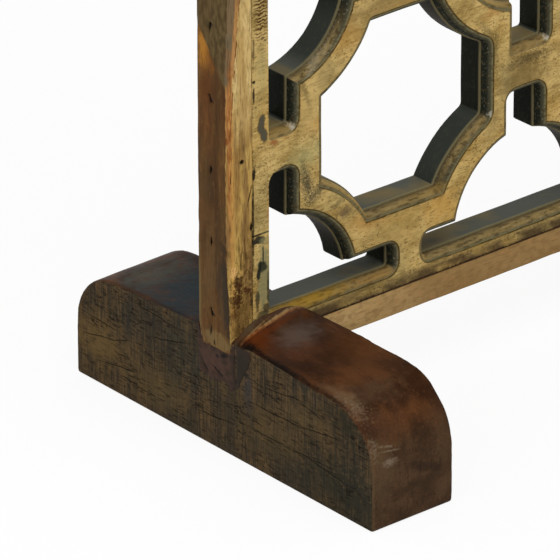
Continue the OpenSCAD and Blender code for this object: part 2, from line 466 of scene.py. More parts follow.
def plank_from(board, low_z, high_z):
    """One plank: the board with all that lies above and below it sawn off."""
    bm = board.copy()
    for place, side in ((low_z, -1), (high_z, 1)):
        everything = bm.verts[:] + bm.edges[:] + bm.faces[:]
        cut = bmesh.ops.bisect_plane(
            bm, geom=everything, dist=1e-5, plane_co=Vector((0, 0, place)), plane_no=Vector((0, 0, side)),
            clear_outer=True,
        )["geom_cut"]
        rims = [item for item in cut if isinstance(item, bmesh.types.BMEdge)]
        if rims:
            bmesh.ops.holes_fill(bm, edges=rims, sides=0)
    bmesh.ops.recalc_face_normals(bm, faces=bm.faces)
    return bm


# Squared timber: posts and rails


def timber(low, high, arris, cuts, wave, seed):
    """A planed stick with soft arrises, cut at the given places so that it can be a little uneven."""
    bm = bmesh.new()
    bmesh.ops.create_cube(bm, size=1.0)
    size = high - low
    middle = (low + high) / 2
    bmesh.ops.scale(bm, vec=size, verts=bm.verts)
    bmesh.ops.translate(bm, vec=middle, verts=bm.verts)
    bmesh.ops.bevel(
        bm, geom=bm.edges[:], offset=arris, affect="EDGES", segments=3, profile=0.5, material=-1, clamp_overlap=True,
    )
    for axis in range(3):
        slices(bm, axis, cuts[axis])
    for vert in bm.verts:
        near = [axis for axis in range(3) if abs(abs(vert.co[axis] - middle[axis]) - size[axis] / 2) < arris]
        worn = wave * (0.5 + 0.5 * waver(vert.co, 30, seed))
        if len(near) > 1:
            worn += arris * 0.45 * max(waver(vert.co, 14, seed + 5), 0.0)
        for axis in near:
            if axis < 2 or size.z < size.x:
                vert.co[axis] += math.copysign(worn, middle[axis] - vert.co[axis])
    return bm


# The post's foot reaches a little past the rail, with its rear corner cut off: points in Y and Z
POST_END_Z = 68.4
POST_CHAMFER_TOP = (20.7, 79.0)
POST_CHAMFER_LOW = (16.6, 67.8)
NICK_Y = 8.4
NICK_HALF_Y = 0.9
NICK_HALF_Z = 3.2
NICK_DEPTH = 1.5
NAIL_HEIGHTS = [NAIL_FIRST + NAIL_PITCH * index for index in range(NAIL_COUNT)]
# Small holes in the post's front: X, Z, half width, half height
FRONT_HOLES = ((-424.3, 193.6, 1.2, 1.1), (-417.6, 148.0, 0.7, 2.4), (-415.4, 242.8, 0.7, 0.8))


def left_post():
    """The post: a stick with the nails' punched nicks, a small hole in front and a tongue at its foot."""
    low, high = box_mm("left_post")
    low.z = rail_high.z
    high.z = top_rail_low.z
    arris = 0.9
    shares = (-1.0, -0.5, 0.0, 0.5, 1.0)
    y_cuts = spaced(low.y + arris, high.y - arris, 3.6) + [NICK_Y + NICK_HALF_Y * share for share in shares]
    z_cuts = spaced(low.z + arris, high.z - arris, 9.0)
    for height in NAIL_HEIGHTS:
        z_cuts += [height + NICK_HALF_Z * share for share in shares]
    x_cuts = spaced(low.x + arris, high.x - arris, 3.6)
    for x, z, half_x, half_z in FRONT_HOLES[:2]:
        x_cuts += [x + half_x * share for share in shares]
        z_cuts += [z + half_z * share for share in shares]
    bm = timber(low, high, arris, (x_cuts, y_cuts, z_cuts), 0.2, 3.0)
    pit_layer = bm.verts.layers.float.new("pit")
    for vert in bm.verts:
        if vert.co.x < low.x + 0.5:
            for number, height in enumerate(NAIL_HEIGHTS):
                lean = 0.5 * math.sin(2.3 * number + 1.1)
                off_y = (vert.co.y - NICK_Y - lean * (vert.co.z - height) / 3) / (NICK_HALF_Y * 1.05)
                off_z = (vert.co.z - height) / (NICK_HALF_Z * 1.05)
                nicked = max(1 - off_y ** 2 - off_z ** 2, 0.0) ** 0.5
                vert.co.x += NICK_DEPTH * nicked
                vert[pit_layer] = max(vert[pit_layer], nicked)
        if vert.co.y < low.y + 0.5:
            for x, z, half_x, half_z in FRONT_HOLES[:2]:
                off = ((vert.co.x - x) / half_x) ** 2 + ((vert.co.z - z) / half_z) ** 2
                vert.co.y += 1.8 * max(1.05 - off, 0.0) ** 0.5
        if vert.co.z < POST_CHAMFER_TOP[1]:
            top_y, top_z = POST_CHAMFER_TOP
            low_y, low_z = POST_CHAMFER_LOW
            edge_y = top_y + (low_y - top_y) * (top_z - vert.co.z) / (top_z - low_z)
            vert.co.y = min(vert.co.y, edge_y)
    tongue = bmesh.new()
    outline_yz = (
        (low.y + 0.3, rail_high.z + 1.0),
        (low.y + 0.3, POST_END_Z + 0.2),
        (low.y + 7, POST_END_Z - 0.3),
        (low.y + 15, POST_END_Z),
        (POST_CHAMFER_LOW[0] - 0.5, POST_CHAMFER_LOW[1]),
        (POST_CHAMFER_LOW[0] + 0.9, rail_high.z + 1.0),
    )
    face = tongue.faces.new([tongue.verts.new((low.x + 0.12, y, z)) for y, z in outline_yz])
    made = bmesh.ops.extrude_face_region(tongue, geom=[face])["geom"]
    inner = [item for item in made if isinstance(item, bmesh.types.BMVert)]
    bmesh.ops.translate(tongue, vec=Vector((rail_end_gap - 0.3, 0, 0)), verts=inner)
    bmesh.ops.recalc_face_normals(tongue, faces=tongue.faces)
    joined = bpy.data.meshes.new("post_tongue")
    tongue.to_mesh(joined)
    tongue.free()
    bm.from_mesh(joined)
    bpy.data.meshes.remove(joined)
    return bm


# Filler, smeared over the rail's end and up beside the post: points in Y and Z, seen on the foot's outer side
FILLER_OUTLINE = (
    (21.9, 80.0), (20.4, 77.6), (16.5, 67.9), (6.0, 68.4), (-3.0, 68.2), (-9.0, 69.0), (-10.2, 74.5), (-14.0, 76.4),
    (-20.0, 76.6), (-26.0, 76.4), (-28.0, 73.0), (-25.6, 66.0), (-22.0, 60.5), (-19.0, 55.0), (-16.4, 49.0),
    (-13.4, 46.4), (-10.4, 44.6), (-8.4, 42.6), (-7.4, 46.8), (-3.0, 48.2), (1.0, 47.0), (4.6, 46.8), (8.4, 45.8),
    (12.6, 47.4), (17.0, 46.6), (20.6, 48.4), (21.6, 55.0), (21.2, 61.0), (22.2, 67.0), (22.0, 74.0),
)
FILLER_SKIN = 0.9
# Slits pressed or cracked in the filler: Y and Z of both ends
FILLER_SLITS = (
    ((8.6, 55.4), (-1.6, 51.0)), ((16.8, 53.6), (12.4, 49.8)), ((-12.9, 75.8), (-13.6, 62.0)),
    ((-13.6, 62.0), (-14.3, 47.6)),
)


def off_segment(y, z, start, end):
    """How far a point lies from a straight line between two points, in Y and Z."""
    point, first, last = Vector((y, z)), Vector(start), Vector(end)
    run = last - first
    along = min(max((point - first).dot(run) / run.length_squared, 0.0), 1.0)
    return (point - first - run * along).length


def left_filler():
    """A thin skin of filler with an uneven rim and slits, and the plug behind it in the trench."""
    bm = bmesh.new()
    back_x = foot_low.x + FILLER_SKIN
    back = bm.faces.new([bm.verts.new((back_x, y, z)) for y, z in FILLER_OUTLINE])
    made = bmesh.ops.extrude_face_region(bm, geom=[back])["geom"]
    front = [item for item in made if isinstance(item, bmesh.types.BMFace)][0]
    bmesh.ops.translate(bm, vec=Vector((-0.45, 0, 0)), verts=front.verts[:])
    bmesh.ops.inset_region(bm, faces=[front], thickness=0.45, use_even_offset=True)
    bmesh.ops.translate(bm, vec=Vector((-0.4, 0, 0)), verts=front.verts[:])
    for axis, low, high in ((1, -28.0, 22.0), (2, 43.0, 80.0)):
        slices(bm, axis, spaced(low, high, 1.4))
    for vert in bm.verts:
        if vert.co.x < foot_low.x + 0.2:
            nearest = min(off_segment(vert.co.y, vert.co.z, *slit) for slit in FILLER_SLITS)
            vert.co.x += 0.12 + 0.12 * waver(vert.co, 6, 2.0) + 0.7 * max(1 - nearest / 1.1, 0.0)
    plug_low = Vector((back_x, FRONT_Y + 0.1, TRENCH_Z + 0.1))
    plug_high = Vector((foot_low.x + rail_end_gap, MEMBER_BACK_Y - 4.4, POST_END_Z - 0.8))
    plug = bmesh.ops.create_cube(bm, size=1.0)["verts"]
    bmesh.ops.scale(bm, vec=plug_high - plug_low, verts=plug)
    bmesh.ops.translate(bm, vec=(plug_low + plug_high) / 2, verts=plug)
    bmesh.ops.recalc_face_normals(bm, faces=bm.faces)
    return bm


def mirrored(bm):
    """The same piece for the right-hand side."""
    other = bm.copy()
    bmesh.ops.scale(other, vec=Vector((-1, 1, 1)), verts=other.verts)
    bmesh.ops.reverse_faces(other, faces=other.faces)
    return other


# Feet

FOOT_ARRIS = 2.4
FOOT_STEP = 4.2
ENDS_DROP = 5.3
DROP_PEAK = 101.0
COLLAR_REACH = 10.0
SAWN_IN = 0.35
# Height of the worn collar in front of the board above the foot's top, at places across the foot
COLLAR = ((-434.3, -3.0), (-427.0, 0.0), (-421.0, 4.0), (-415.0, 7.0), (-391.0, 8.0), (-384.0, 6.0), (-377.0, 3.0),
          (-370.2, -2.0))
# Long cracks in the outer side of the foot: Y and Z of both ends
FOOT_CRACKS = (
    ((134.0, 30.0), (108.0, 35.0)), ((108.0, 34.0), (88.0, 41.0)), ((123.0, 15.5), (76.0, 22.5)),
    ((132.0, 45.0), (100.0, 43.0)), ((68.0, 51.0), (28.0, 61.5)), ((88.0, 69.5), (40.0, 66.5)),
    ((-20.0, 60.0), (-42.0, 58.0)), ((-40.0, 58.5), (-76.0, 63.0)), ((-72.0, 62.0), (-96.0, 57.0)),
    ((-28.0, 43.5), (-76.0, 45.5)), ((-70.0, 45.0), (-114.0, 51.0)), ((-26.0, 25.5), (-58.0, 27.0)),
    ((-56.0, 26.0), (-104.0, 28.5)), ((26.0, 19.0), (-12.0, 22.5)), ((99.0, 14.0), (66.0, 12.0)),
    ((-74.0, 27.5), (-117.0, 23.0)),
)


def foot_outline():
    """The foot's side as points in Y and Z, from the back bottom corner to the front and round over the top."""
    y0, y1 = foot_low.y, foot_high.y
    points = [Vector((y1, 0.0)), Vector((y0, 0.0))]
    shoulder_z = FOOT_TOP - SHOULDER_R
    front = Vector((y0 + SHOULDER_R, shoulder_z))
    back = Vector((y1 - SHOULDER_R, shoulder_z))
    points += swept(front, Vector((y0, shoulder_z)), Vector((front.x, FOOT_TOP)), 18)
    trench_front = FRONT_Y - JOINT_PLAY
    trench_back = MEMBER_BACK_Y + JOINT_PLAY
    points += [
        Vector((trench_front, FOOT_TOP)),
        Vector((trench_front, TRENCH_Z)),
        Vector((trench_back, TRENCH_Z)),
        Vector((trench_back, FOOT_TOP)),
    ]
    points += swept(back, Vector((back.x, FOOT_TOP)), Vector((y1, shoulder_z)), 18)
    return points


def between_rows(rows, place):
    """The value at a place, from rows of place and value in rising order."""
    if place <= rows[0][0]:
        return rows[0][1]
    for (before, low), (after, high) in zip(rows, rows[1:]):
        if place <= after:
            return low + (high - low) * (place - before) / (after - before)
    return rows[-1][1]


def settled(start):
    """How far a point of the foot's worn top lies above or below the planed one."""
    reach = abs(start.y)
    drop = ENDS_DROP * (reach / DROP_PEAK if reach < DROP_PEAK else max(1 - (reach - DROP_PEAK) / 39.0, 0.0))
    over = (start.x - foot_low.x) / FOOT_W
    rise = -drop * (1 - (0.35 if start.y > 0 else 0.85) * over)
    ahead = FRONT_Y - start.y
    if -1.0 < ahead < COLLAR_REACH:
        near = (1 - max(ahead, 0.0) / COLLAR_REACH) ** 1.5
        rise += near * (between_rows(COLLAR, start.x) + 0.5 * waver(start, 5, 9.0))
    pocket = math.exp(-((start.y + 17.0) / 6.0) ** 2 - ((start.x - foot_low.x) / 4.5) ** 2)
    return rise - 2.6 * pocket


def left_foot():
    """The left foot: its side drawn across, with worn edges, a sawn and cracked side and a worn collar."""
    bm = bmesh.new()
    x0, x1 = foot_low.x, foot_high.x
    side = bm.faces.new([bm.verts.new((x0, point.x, point.y)) for point in foot_outline()])
    made = bmesh.ops.extrude_face_region(bm, geom=[side])["geom"]
    far_side = [item for item in made if isinstance(item, bmesh.types.BMVert)]
    bmesh.ops.translate(bm, vec=Vector((x1 - x0, 0, 0)), verts=far_side)
    bmesh.ops.recalc_face_normals(bm, faces=bm.faces)
    worn_edges = []
    for edge in bm.edges:
        bent = edge.calc_face_angle() > math.radians(30)
        rims_trench = all(abs(vert.co.y) < 25 for vert in edge.verts)
        enters_trench = any(abs(vert.co.y) < 25 and vert.co.z < FOOT_TOP - 1 for vert in edge.verts)
        if bent and not rims_trench and not enters_trench:
            worn_edges.append(edge)
    bmesh.ops.bevel(
        bm, geom=worn_edges, offset=FOOT_ARRIS, affect="EDGES", segments=4, profile=0.5, material=-1,
        clamp_overlap=True,
    )
    slices(bm, 0, spaced(x0 + FOOT_ARRIS, x1 - FOOT_ARRIS, FOOT_STEP))
    slices(bm, 1, spaced(foot_low.y + 2, foot_high.y - 2, FOOT_STEP))
    slices(bm, 2, spaced(2.0, FOOT_TOP - 2, FOOT_STEP))
    long_edges = [edge for edge in bm.edges if edge.calc_length() > FOOT_STEP * 0.6]
    bmesh.ops.subdivide_edges(bm, edges=long_edges, cuts=2, use_grid_fill=True)
    middle_x = (x0 + x1) / 2
    for vert in bm.verts:
        start = vert.co.copy()
        outward = math.copysign(1, start.x - middle_x)
        sideways = FOOT_W / 2 - abs(start.x - middle_x)
        waxed = start.z > TRENCH_Z + 2 or abs(start.y) > 60
        if waxed:
            vert.co.z += settled(start) * min(max((start.z - 20) / 40, 0.0), 1.0)
            vert.co.z += (waver(start, 42, 1.0) * 0.5 + waver(start, 12, 2.0) * 0.12) * (start.z > 50)
        if sideways < FOOT_ARRIS and start.z > 1:
            dent = max(waver(start, 16, 3.0), 0.0) + max(waver(start, 5, 4.0), 0.0) * 0.45
            share = max(1 - abs(sideways - FOOT_ARRIS * 0.3) / FOOT_ARRIS, 0.0)
            vert.co.z -= dent * share * (start.z > 30)
            vert.co.x -= outward * dent * share * 0.6
        if sideways < 0.3:
            saw = 0.5 + 0.5 * noise.noise(Vector((start.y / 2.6, start.z / 40, outward)))
            tear = max(noise.noise(Vector((start.y / 11, start.z / 1.9, 5 + outward))) - 0.25, 0.0)
            vert.co.x -= outward * (SAWN_IN + 0.2 * saw + 0.7 * tear)
            nearest = min(
                off_segment(start.y, start.z + 1.2 * waver(start, 9, 7.0), *crack) for crack in FOOT_CRACKS
            )
            vert.co.x -= outward * 0.4 * max(1 - nearest / 1.0, 0.0)
    return bm


# Materials


def colour(text):
    """An sRGB hex colour as the linear colour that a shader takes."""
    channels = [int(text[index:index + 2], 16) / 255 for index in (1, 3, 5)]
    return (*[c / 12.92 if c <= 0.04045 else ((c + 0.055) / 1.055) ** 2.4 for c in channels], 1.0)


def add(tree, kind, inputs=None, **settings):
    """Adds one node with its settings, and links or sets its inputs. A hex colour is turned to linear."""
    node = tree.nodes.new(kind)
    for name, value in settings.items():
        setattr(node, name, value)
    for socket, value in (inputs or {}).items():
        if isinstance(value, bpy.types.NodeSocket):
            tree.links.new(value, node.inputs[socket])
        else:
            node.inputs[socket].default_value = colour(value) if isinstance(value, str) else value
    return node


def new_material(name):
    material = bpy.data.materials.new(name)
    material.use_nodes = True
    material.node_tree.nodes.clear()
    return material, material.node_tree


def per_metre(millimetres):
    """Scale of a pattern whose marks are this many millimetres apart."""
    return 1 / (millimetres * MM)


def laid(tree, base, tint, marks, low, high, share=1.0):
    """Lays a colour over the base, more and more as the marks go from low to high, up to a share."""
    limits = {"Value": marks, 1: low, 2: high, 4: share}
    cover = add(tree, "ShaderNodeMapRange", limits, interpolation_type="SMOOTHSTEP")
    return add(tree, "ShaderNodeMix", {0: cover.outputs[0], 6: base, 7: tint}, data_type="RGBA").outputs[2]


def streaks(tree, where, size, along, detail=4.0, seed=0.0):
    """Grain: noise whose marks are size apart, drawn out along one axis."""
    stretch = [1.0 / factor for factor in along]
    placed = add(tree, "ShaderNodeMapping", {"Vector": where, "Location": (seed, seed, seed), "Scale": stretch})
    marks = add(tree, "ShaderNodeTexNoise", {"Vector": placed.outputs[0], "Scale": per_metre(size), "Detail": detail})
    return marks.outputs[0]


def fray(tree, where, size, amount, seed=0.0):
    """Noise about 0 that frays the rims of stains."""
    marks = streaks(tree, where, size, (1, 1, 1), 5.0, seed)
    scaled = {0: marks, 1: amount, 2: -0.5 * amount}
    return add(tree, "ShaderNodeMath", scaled, operation="MULTIPLY_ADD").outputs[0]


def crooked(tree, where, size, amount):
    """Places pushed to and fro by noise, so that a line drawn on them wanders. The amount is in millimetres."""
    marks = add(tree, "ShaderNodeTexNoise", {"Vector": where, "Scale": per_metre(size), "Detail": 3.0})
    centred = {0: marks.outputs["Color"], 1: (0.5, 0.5, 0.5)}
    push = add(tree, "ShaderNodeVectorMath", centred, operation="SUBTRACT")
    scaled = {0: push.outputs[0], 1: (amount * MM, amount * MM, amount * MM), 2: where}
    return add(tree, "ShaderNodeVectorMath", scaled, operation="MULTIPLY_ADD").outputs[0]


def patch(tree, where, ragged, centre, halves, turn, axis, soft, share=1.0):
    """A worn or stained place: an ellipse in millimetres, turned about one axis, with a frayed rim."""
    rotation = [0.0, 0.0, 0.0]
    rotation[axis] = math.radians(turn)
    fitted = add(
        tree, "ShaderNodeMapping",
        {
            "Vector": where,
            "Location": [value * MM for value in centre],
            "Rotation": rotation,
            "Scale": [3 * value * MM for value in halves],
        },
        vector_type="TEXTURE",
    )
    # The gradient falls from 1 in the middle to 0 at three times the half sizes
    near = add(tree, "ShaderNodeTexGradient", {0: fitted.outputs[0]}, gradient_type="SPHERICAL").outputs["Fac"]
    rough = add(tree, "ShaderNodeMath", {0: near, 1: -3.0, 2: ragged}, operation="MULTIPLY_ADD").outputs[0]
    limits = {"Value": rough, 1: soft - 2.0, 2: -2.0 - soft, 4: share}
    return add(tree, "ShaderNodeMapRange", limits, interpolation_type="SMOOTHSTEP").outputs[0]


# The faces that stains lie on: the axis that each looks along, its place on that axis and how deep a stain goes
FACES = {
    "front": (1, FRONT_Y, 2.5),
    "hollow": (1, FRONT_Y + 3.0, 5.0),
    "outer": (0, foot_low.x, 3.0),
    "top": (2, FOOT_TOP, 9.0),
    "end": (1, foot_low.y, 5.0),
}


def stained(tree, base, where, ragged, face, stains, soft=0.45):
    """Lays stains on one face, each with a colour, a share, its centre and half sizes in millimetres, and a turn."""
    axis, level, depth = FACES[face]
    for tint, share, first, second, half_first, half_second, turn in stains:
        centre = [first, second]
        centre.insert(axis, level)
        halves = [half_first, half_second]
        halves.insert(axis, depth)
        cover = patch(tree, where, ragged, centre, halves, turn, axis, soft, share)
        base = add(tree, "ShaderNodeMix", {0: cover, 6: base, 7: tint}, data_type="RGBA").outputs[2]
    return base


def drawn(segments, tint, share, half):
    """Stains as thin as a crack, from the two ends of each crack."""
    stains = []
    for start, end in segments:
        run = Vector(end) - Vector(start)
        middle = (Vector(start) + Vector(end)) / 2
        turn = math.degrees(math.atan2(run.y, run.x))
        stains.append((tint, share, middle.x, middle.y, run.length / 2, half, turn))
    return stains


def beyond(tree, where, ragged, point, direction, soft, share=1.0):
    """The share past a plane through a point in millimetres, towards a direction, and 0 before it."""
    away = add(tree, "ShaderNodeVectorMath", {0: where, 1: [value * MM for value in point]}, operation="SUBTRACT")
    along = add(tree, "ShaderNodeVectorMath", {0: away.outputs[0], 1: direction}, operation="DOT_PRODUCT")
    rough = add(tree, "ShaderNodeMath", {0: along.outputs["Value"], 1: 1 / MM, 2: ragged}, operation="MULTIPLY_ADD")
    limits = {"Value": rough.outputs[0], 1: -soft, 2: soft, 4: share}
    return add(tree, "ShaderNodeMapRange", limits, interpolation_type="SMOOTHSTEP").outputs[0]


def hairlines(tree, where, size, along, width, seed, share=1.0):
    """Thin lines where a drawn-out noise passes its middle value, for cracks and crazing."""
    marks = streaks(tree, where, size, along, 3.0, seed)
    centred = add(tree, "ShaderNodeMath", {0: marks, 1: 0.5}, operation="SUBTRACT").outputs[0]
    away = add(tree, "ShaderNodeMath", {0: centred}, operation="ABSOLUTE").outputs[0]
    limits = {"Value": away, 1: width, 2: width * 0.25, 4: share}
    return add(tree, "ShaderNodeMapRange", limits).outputs[0]


def left_copy(tree, where):
    """Places with the right half of the screen folded onto the left, so that both sides are worn alike."""
    parts = add(tree, "ShaderNodeSeparateXYZ", {0: where})
    distance = add(tree, "ShaderNodeMath", {0: parts.outputs["X"]}, operation="ABSOLUTE").outputs[0]
    folded = add(tree, "ShaderNodeMath", {0: distance, 1: -1.0}, operation="MULTIPLY").outputs[0]
    joined = add(tree, "ShaderNodeCombineXYZ", {0: folded, 1: parts.outputs["Y"], 2: parts.outputs["Z"]})
    return joined.outputs[0]


def surface(tree, base, roughness, height, relief, specular):
    """Finishes a material with the shader that all its patterns feed. Relief is the bump's depth in millimetres."""
    bump = add(tree, "ShaderNodeBump", {"Strength": 0.5, "Distance": relief * MM, "Height": height})
    shader = add(
        tree, "ShaderNodeBsdfPrincipled",
        {
            "Base Color": base, "Roughness": roughness, "Normal": bump.outputs[0], "IOR": 1.5,
            "Specular IOR Level": specular,
        },
    )
    add(tree, "ShaderNodeOutputMaterial", {"Surface": shader.outputs[0]})


# Stains on the board's front: colour, share, X, Z, half width, half height, turn
FACE_TONES = (
    ("#b07b34", 0.45, -362, 201, 10, 5, 0), ("#b07b34", 0.40, -322, 127, 14, 8, 0),
    ("#a98a4e", 0.50, -304, 107, 14, 7, 0), ("#b3853a", 0.45, -268, 115, 12, 9, 0),
    ("#ad7a34", 0.30, -342, 252, 10, 10, 0), ("#b48836", 0.35, -301, 259, 20, 5, 0),
    ("#93905f", 0.50, -379, 181, 8, 8, 0), ("#93905f", 0.45, -364, 184, 10, 6, 0),
    ("#8c8658", 0.50, -344, 157, 10, 10, 0), ("#8f8459", 0.45, -214, 184, 5, 12, 0),
    ("#67532d", 0.75, -200, 184, 18, 12, 0), ("#86744a", 0.35, -226, 158, 10, 10, 0),
    ("#ad7a40", 0.40, -222, 236, 10, 4, -20), ("#8f895c", 0.40, -409, 250, 5, 14, 0),
    ("#ad7a40", 0.45, -402, 156, 2.5, 10, 0), ("#7d3a1c", 0.70, -400, 199, 3.5, 1.6, 20),
    ("#8a5a30", 0.45, -394, 203, 5, 2.0, 30), ("#8c7a4c", 0.5, -238, 262, 24, 14, 0),
    ("#7d683f", 0.60, -313, 263, 30, 8, 0), ("#88754b", 0.60, -358, 231, 8, 10, 35),
    ("#b99e63", 0.50, -371, 212, 7, 14, 0), ("#b08f4d", 0.45, -300, 118, 12, 4, 0),
)
FACE_GRIME = (
    ("#35331f", 0.45, -223.5, 208, 2.0, 12, 0), ("#35331f", 0.50, -230, 222.0, 2.0, 8, -44),
    ("#35331f", 0.45, -375.0, 224, 1.8, 10, -20), ("#463a22", 0.75, -197, 195.0, 14, 3.6, 0),
    ("#31332a", 0.85, -374.0, 164, 3.6, 9, -10), ("#31332a", 0.70, -366, 156, 8, 3.4, -38),
    ("#4f4038", 0.60, -343.5, 136, 5, 3, 0), ("#35331f", 0.45, -377, 176, 2.0, 6, 0),
    ("#35331f", 0.45, -349, 143.5, 5, 2, -30), ("#3f3823", 0.40, -252, 120, 6, 2, 0),
    ("#3a3522", 0.60, -214, 272, 3, 8, 30), ("#4a3d22", 0.55, -330, 79.5, 12, 1.6, 0),
)
STILE_STAINS = (
    ("#150f08", 0.95, -415.1, 242.8, 0.9, 0.9, 0), ("#1b1109", 0.95, -415.1, 234.4, 0.7, 5.2, 0),
    ("#12110d", 0.95, -415.2, 183, 0.95, 4.4, 0), ("#2a1f12", 0.85, -415.7, 152, 0.5, 30, 0),
    ("#17120b", 0.95, -409.5, 141.7, 6.8, 0.55, 0), ("#1f211c", 0.95, -411.6, 138.2, 4.4, 2.6, 0),
    ("#827d58", 0.80, -407.5, 111, 5, 25, 0), ("#22241c", 0.95, -411.6, 117, 1.5, 8, 8),
    ("#22241c", 0.90, -409.0, 119, 3.2, 3.4, 0), ("#26261d", 0.85, -408.4, 128, 0.6, 6, 0),
    ("#2a2a20", 0.80, -404.6, 104, 1.0, 10, 0), ("#2b2a20", 0.80, -412.8, 97, 1.6, 7, 0),
    ("#3a2a18", 0.75, -406.0, 92, 2.6, 3, 0), ("#2a2118", 0.70, -409.6, 88, 5, 2.4, 0),
    ("#3b2c1a", 0.70, -415.2, 264, 0.7, 9, 0), ("#3b2c1a", 0.60, -413.6, 226, 0.7, 1.0, 0),
)
# Bare wood and yellow wax in the mouldings, and small glints at their corners, which are painted highlights
HOLLOW_STAINS = (
    ("#8d7442", 0.75, -399, 203, 13, 4.5, -6), ("#8a7041", 0.75, -197, 199, 15, 4.5, 0),
    ("#93701f", 0.75, -372, 84, 28, 3.4, 0), ("#93703a", 0.60, -318, 83, 22, 2.0, 0),
    ("#8a6f38", 0.50, -258, 127, 26, 3, 0),
)
PAINTED_GLINTS = (
    ("#b9b3a2", 0.55, -181.0, 203.2, 1.5, 1.4, 0), ("#b9b3a2", 0.55, -384.2, 204.2, 1.5, 1.5, 0),
    ("#b9b3a2", 0.50, -226.0, 165.4, 1.4, 1.8, 0), ("#a39a82", 0.28, -366, 240, 12, 1.4, -42),
)
# A kidney of putty on the board's upright border
PUTTY = (
    ("#2b251a", 0.80, -409.4, 214.2, 2.7, 6.4, 12), ("#2b251a", 0.80, -407.5, 206.4, 2.9, 5.2, -14),
    ("#4f4a3a", 1.00, -409.4, 214.2, 1.9, 5.6, 12), ("#4f4a3a", 1.00, -407.5, 206.4, 2.1, 4.4, -14),
)


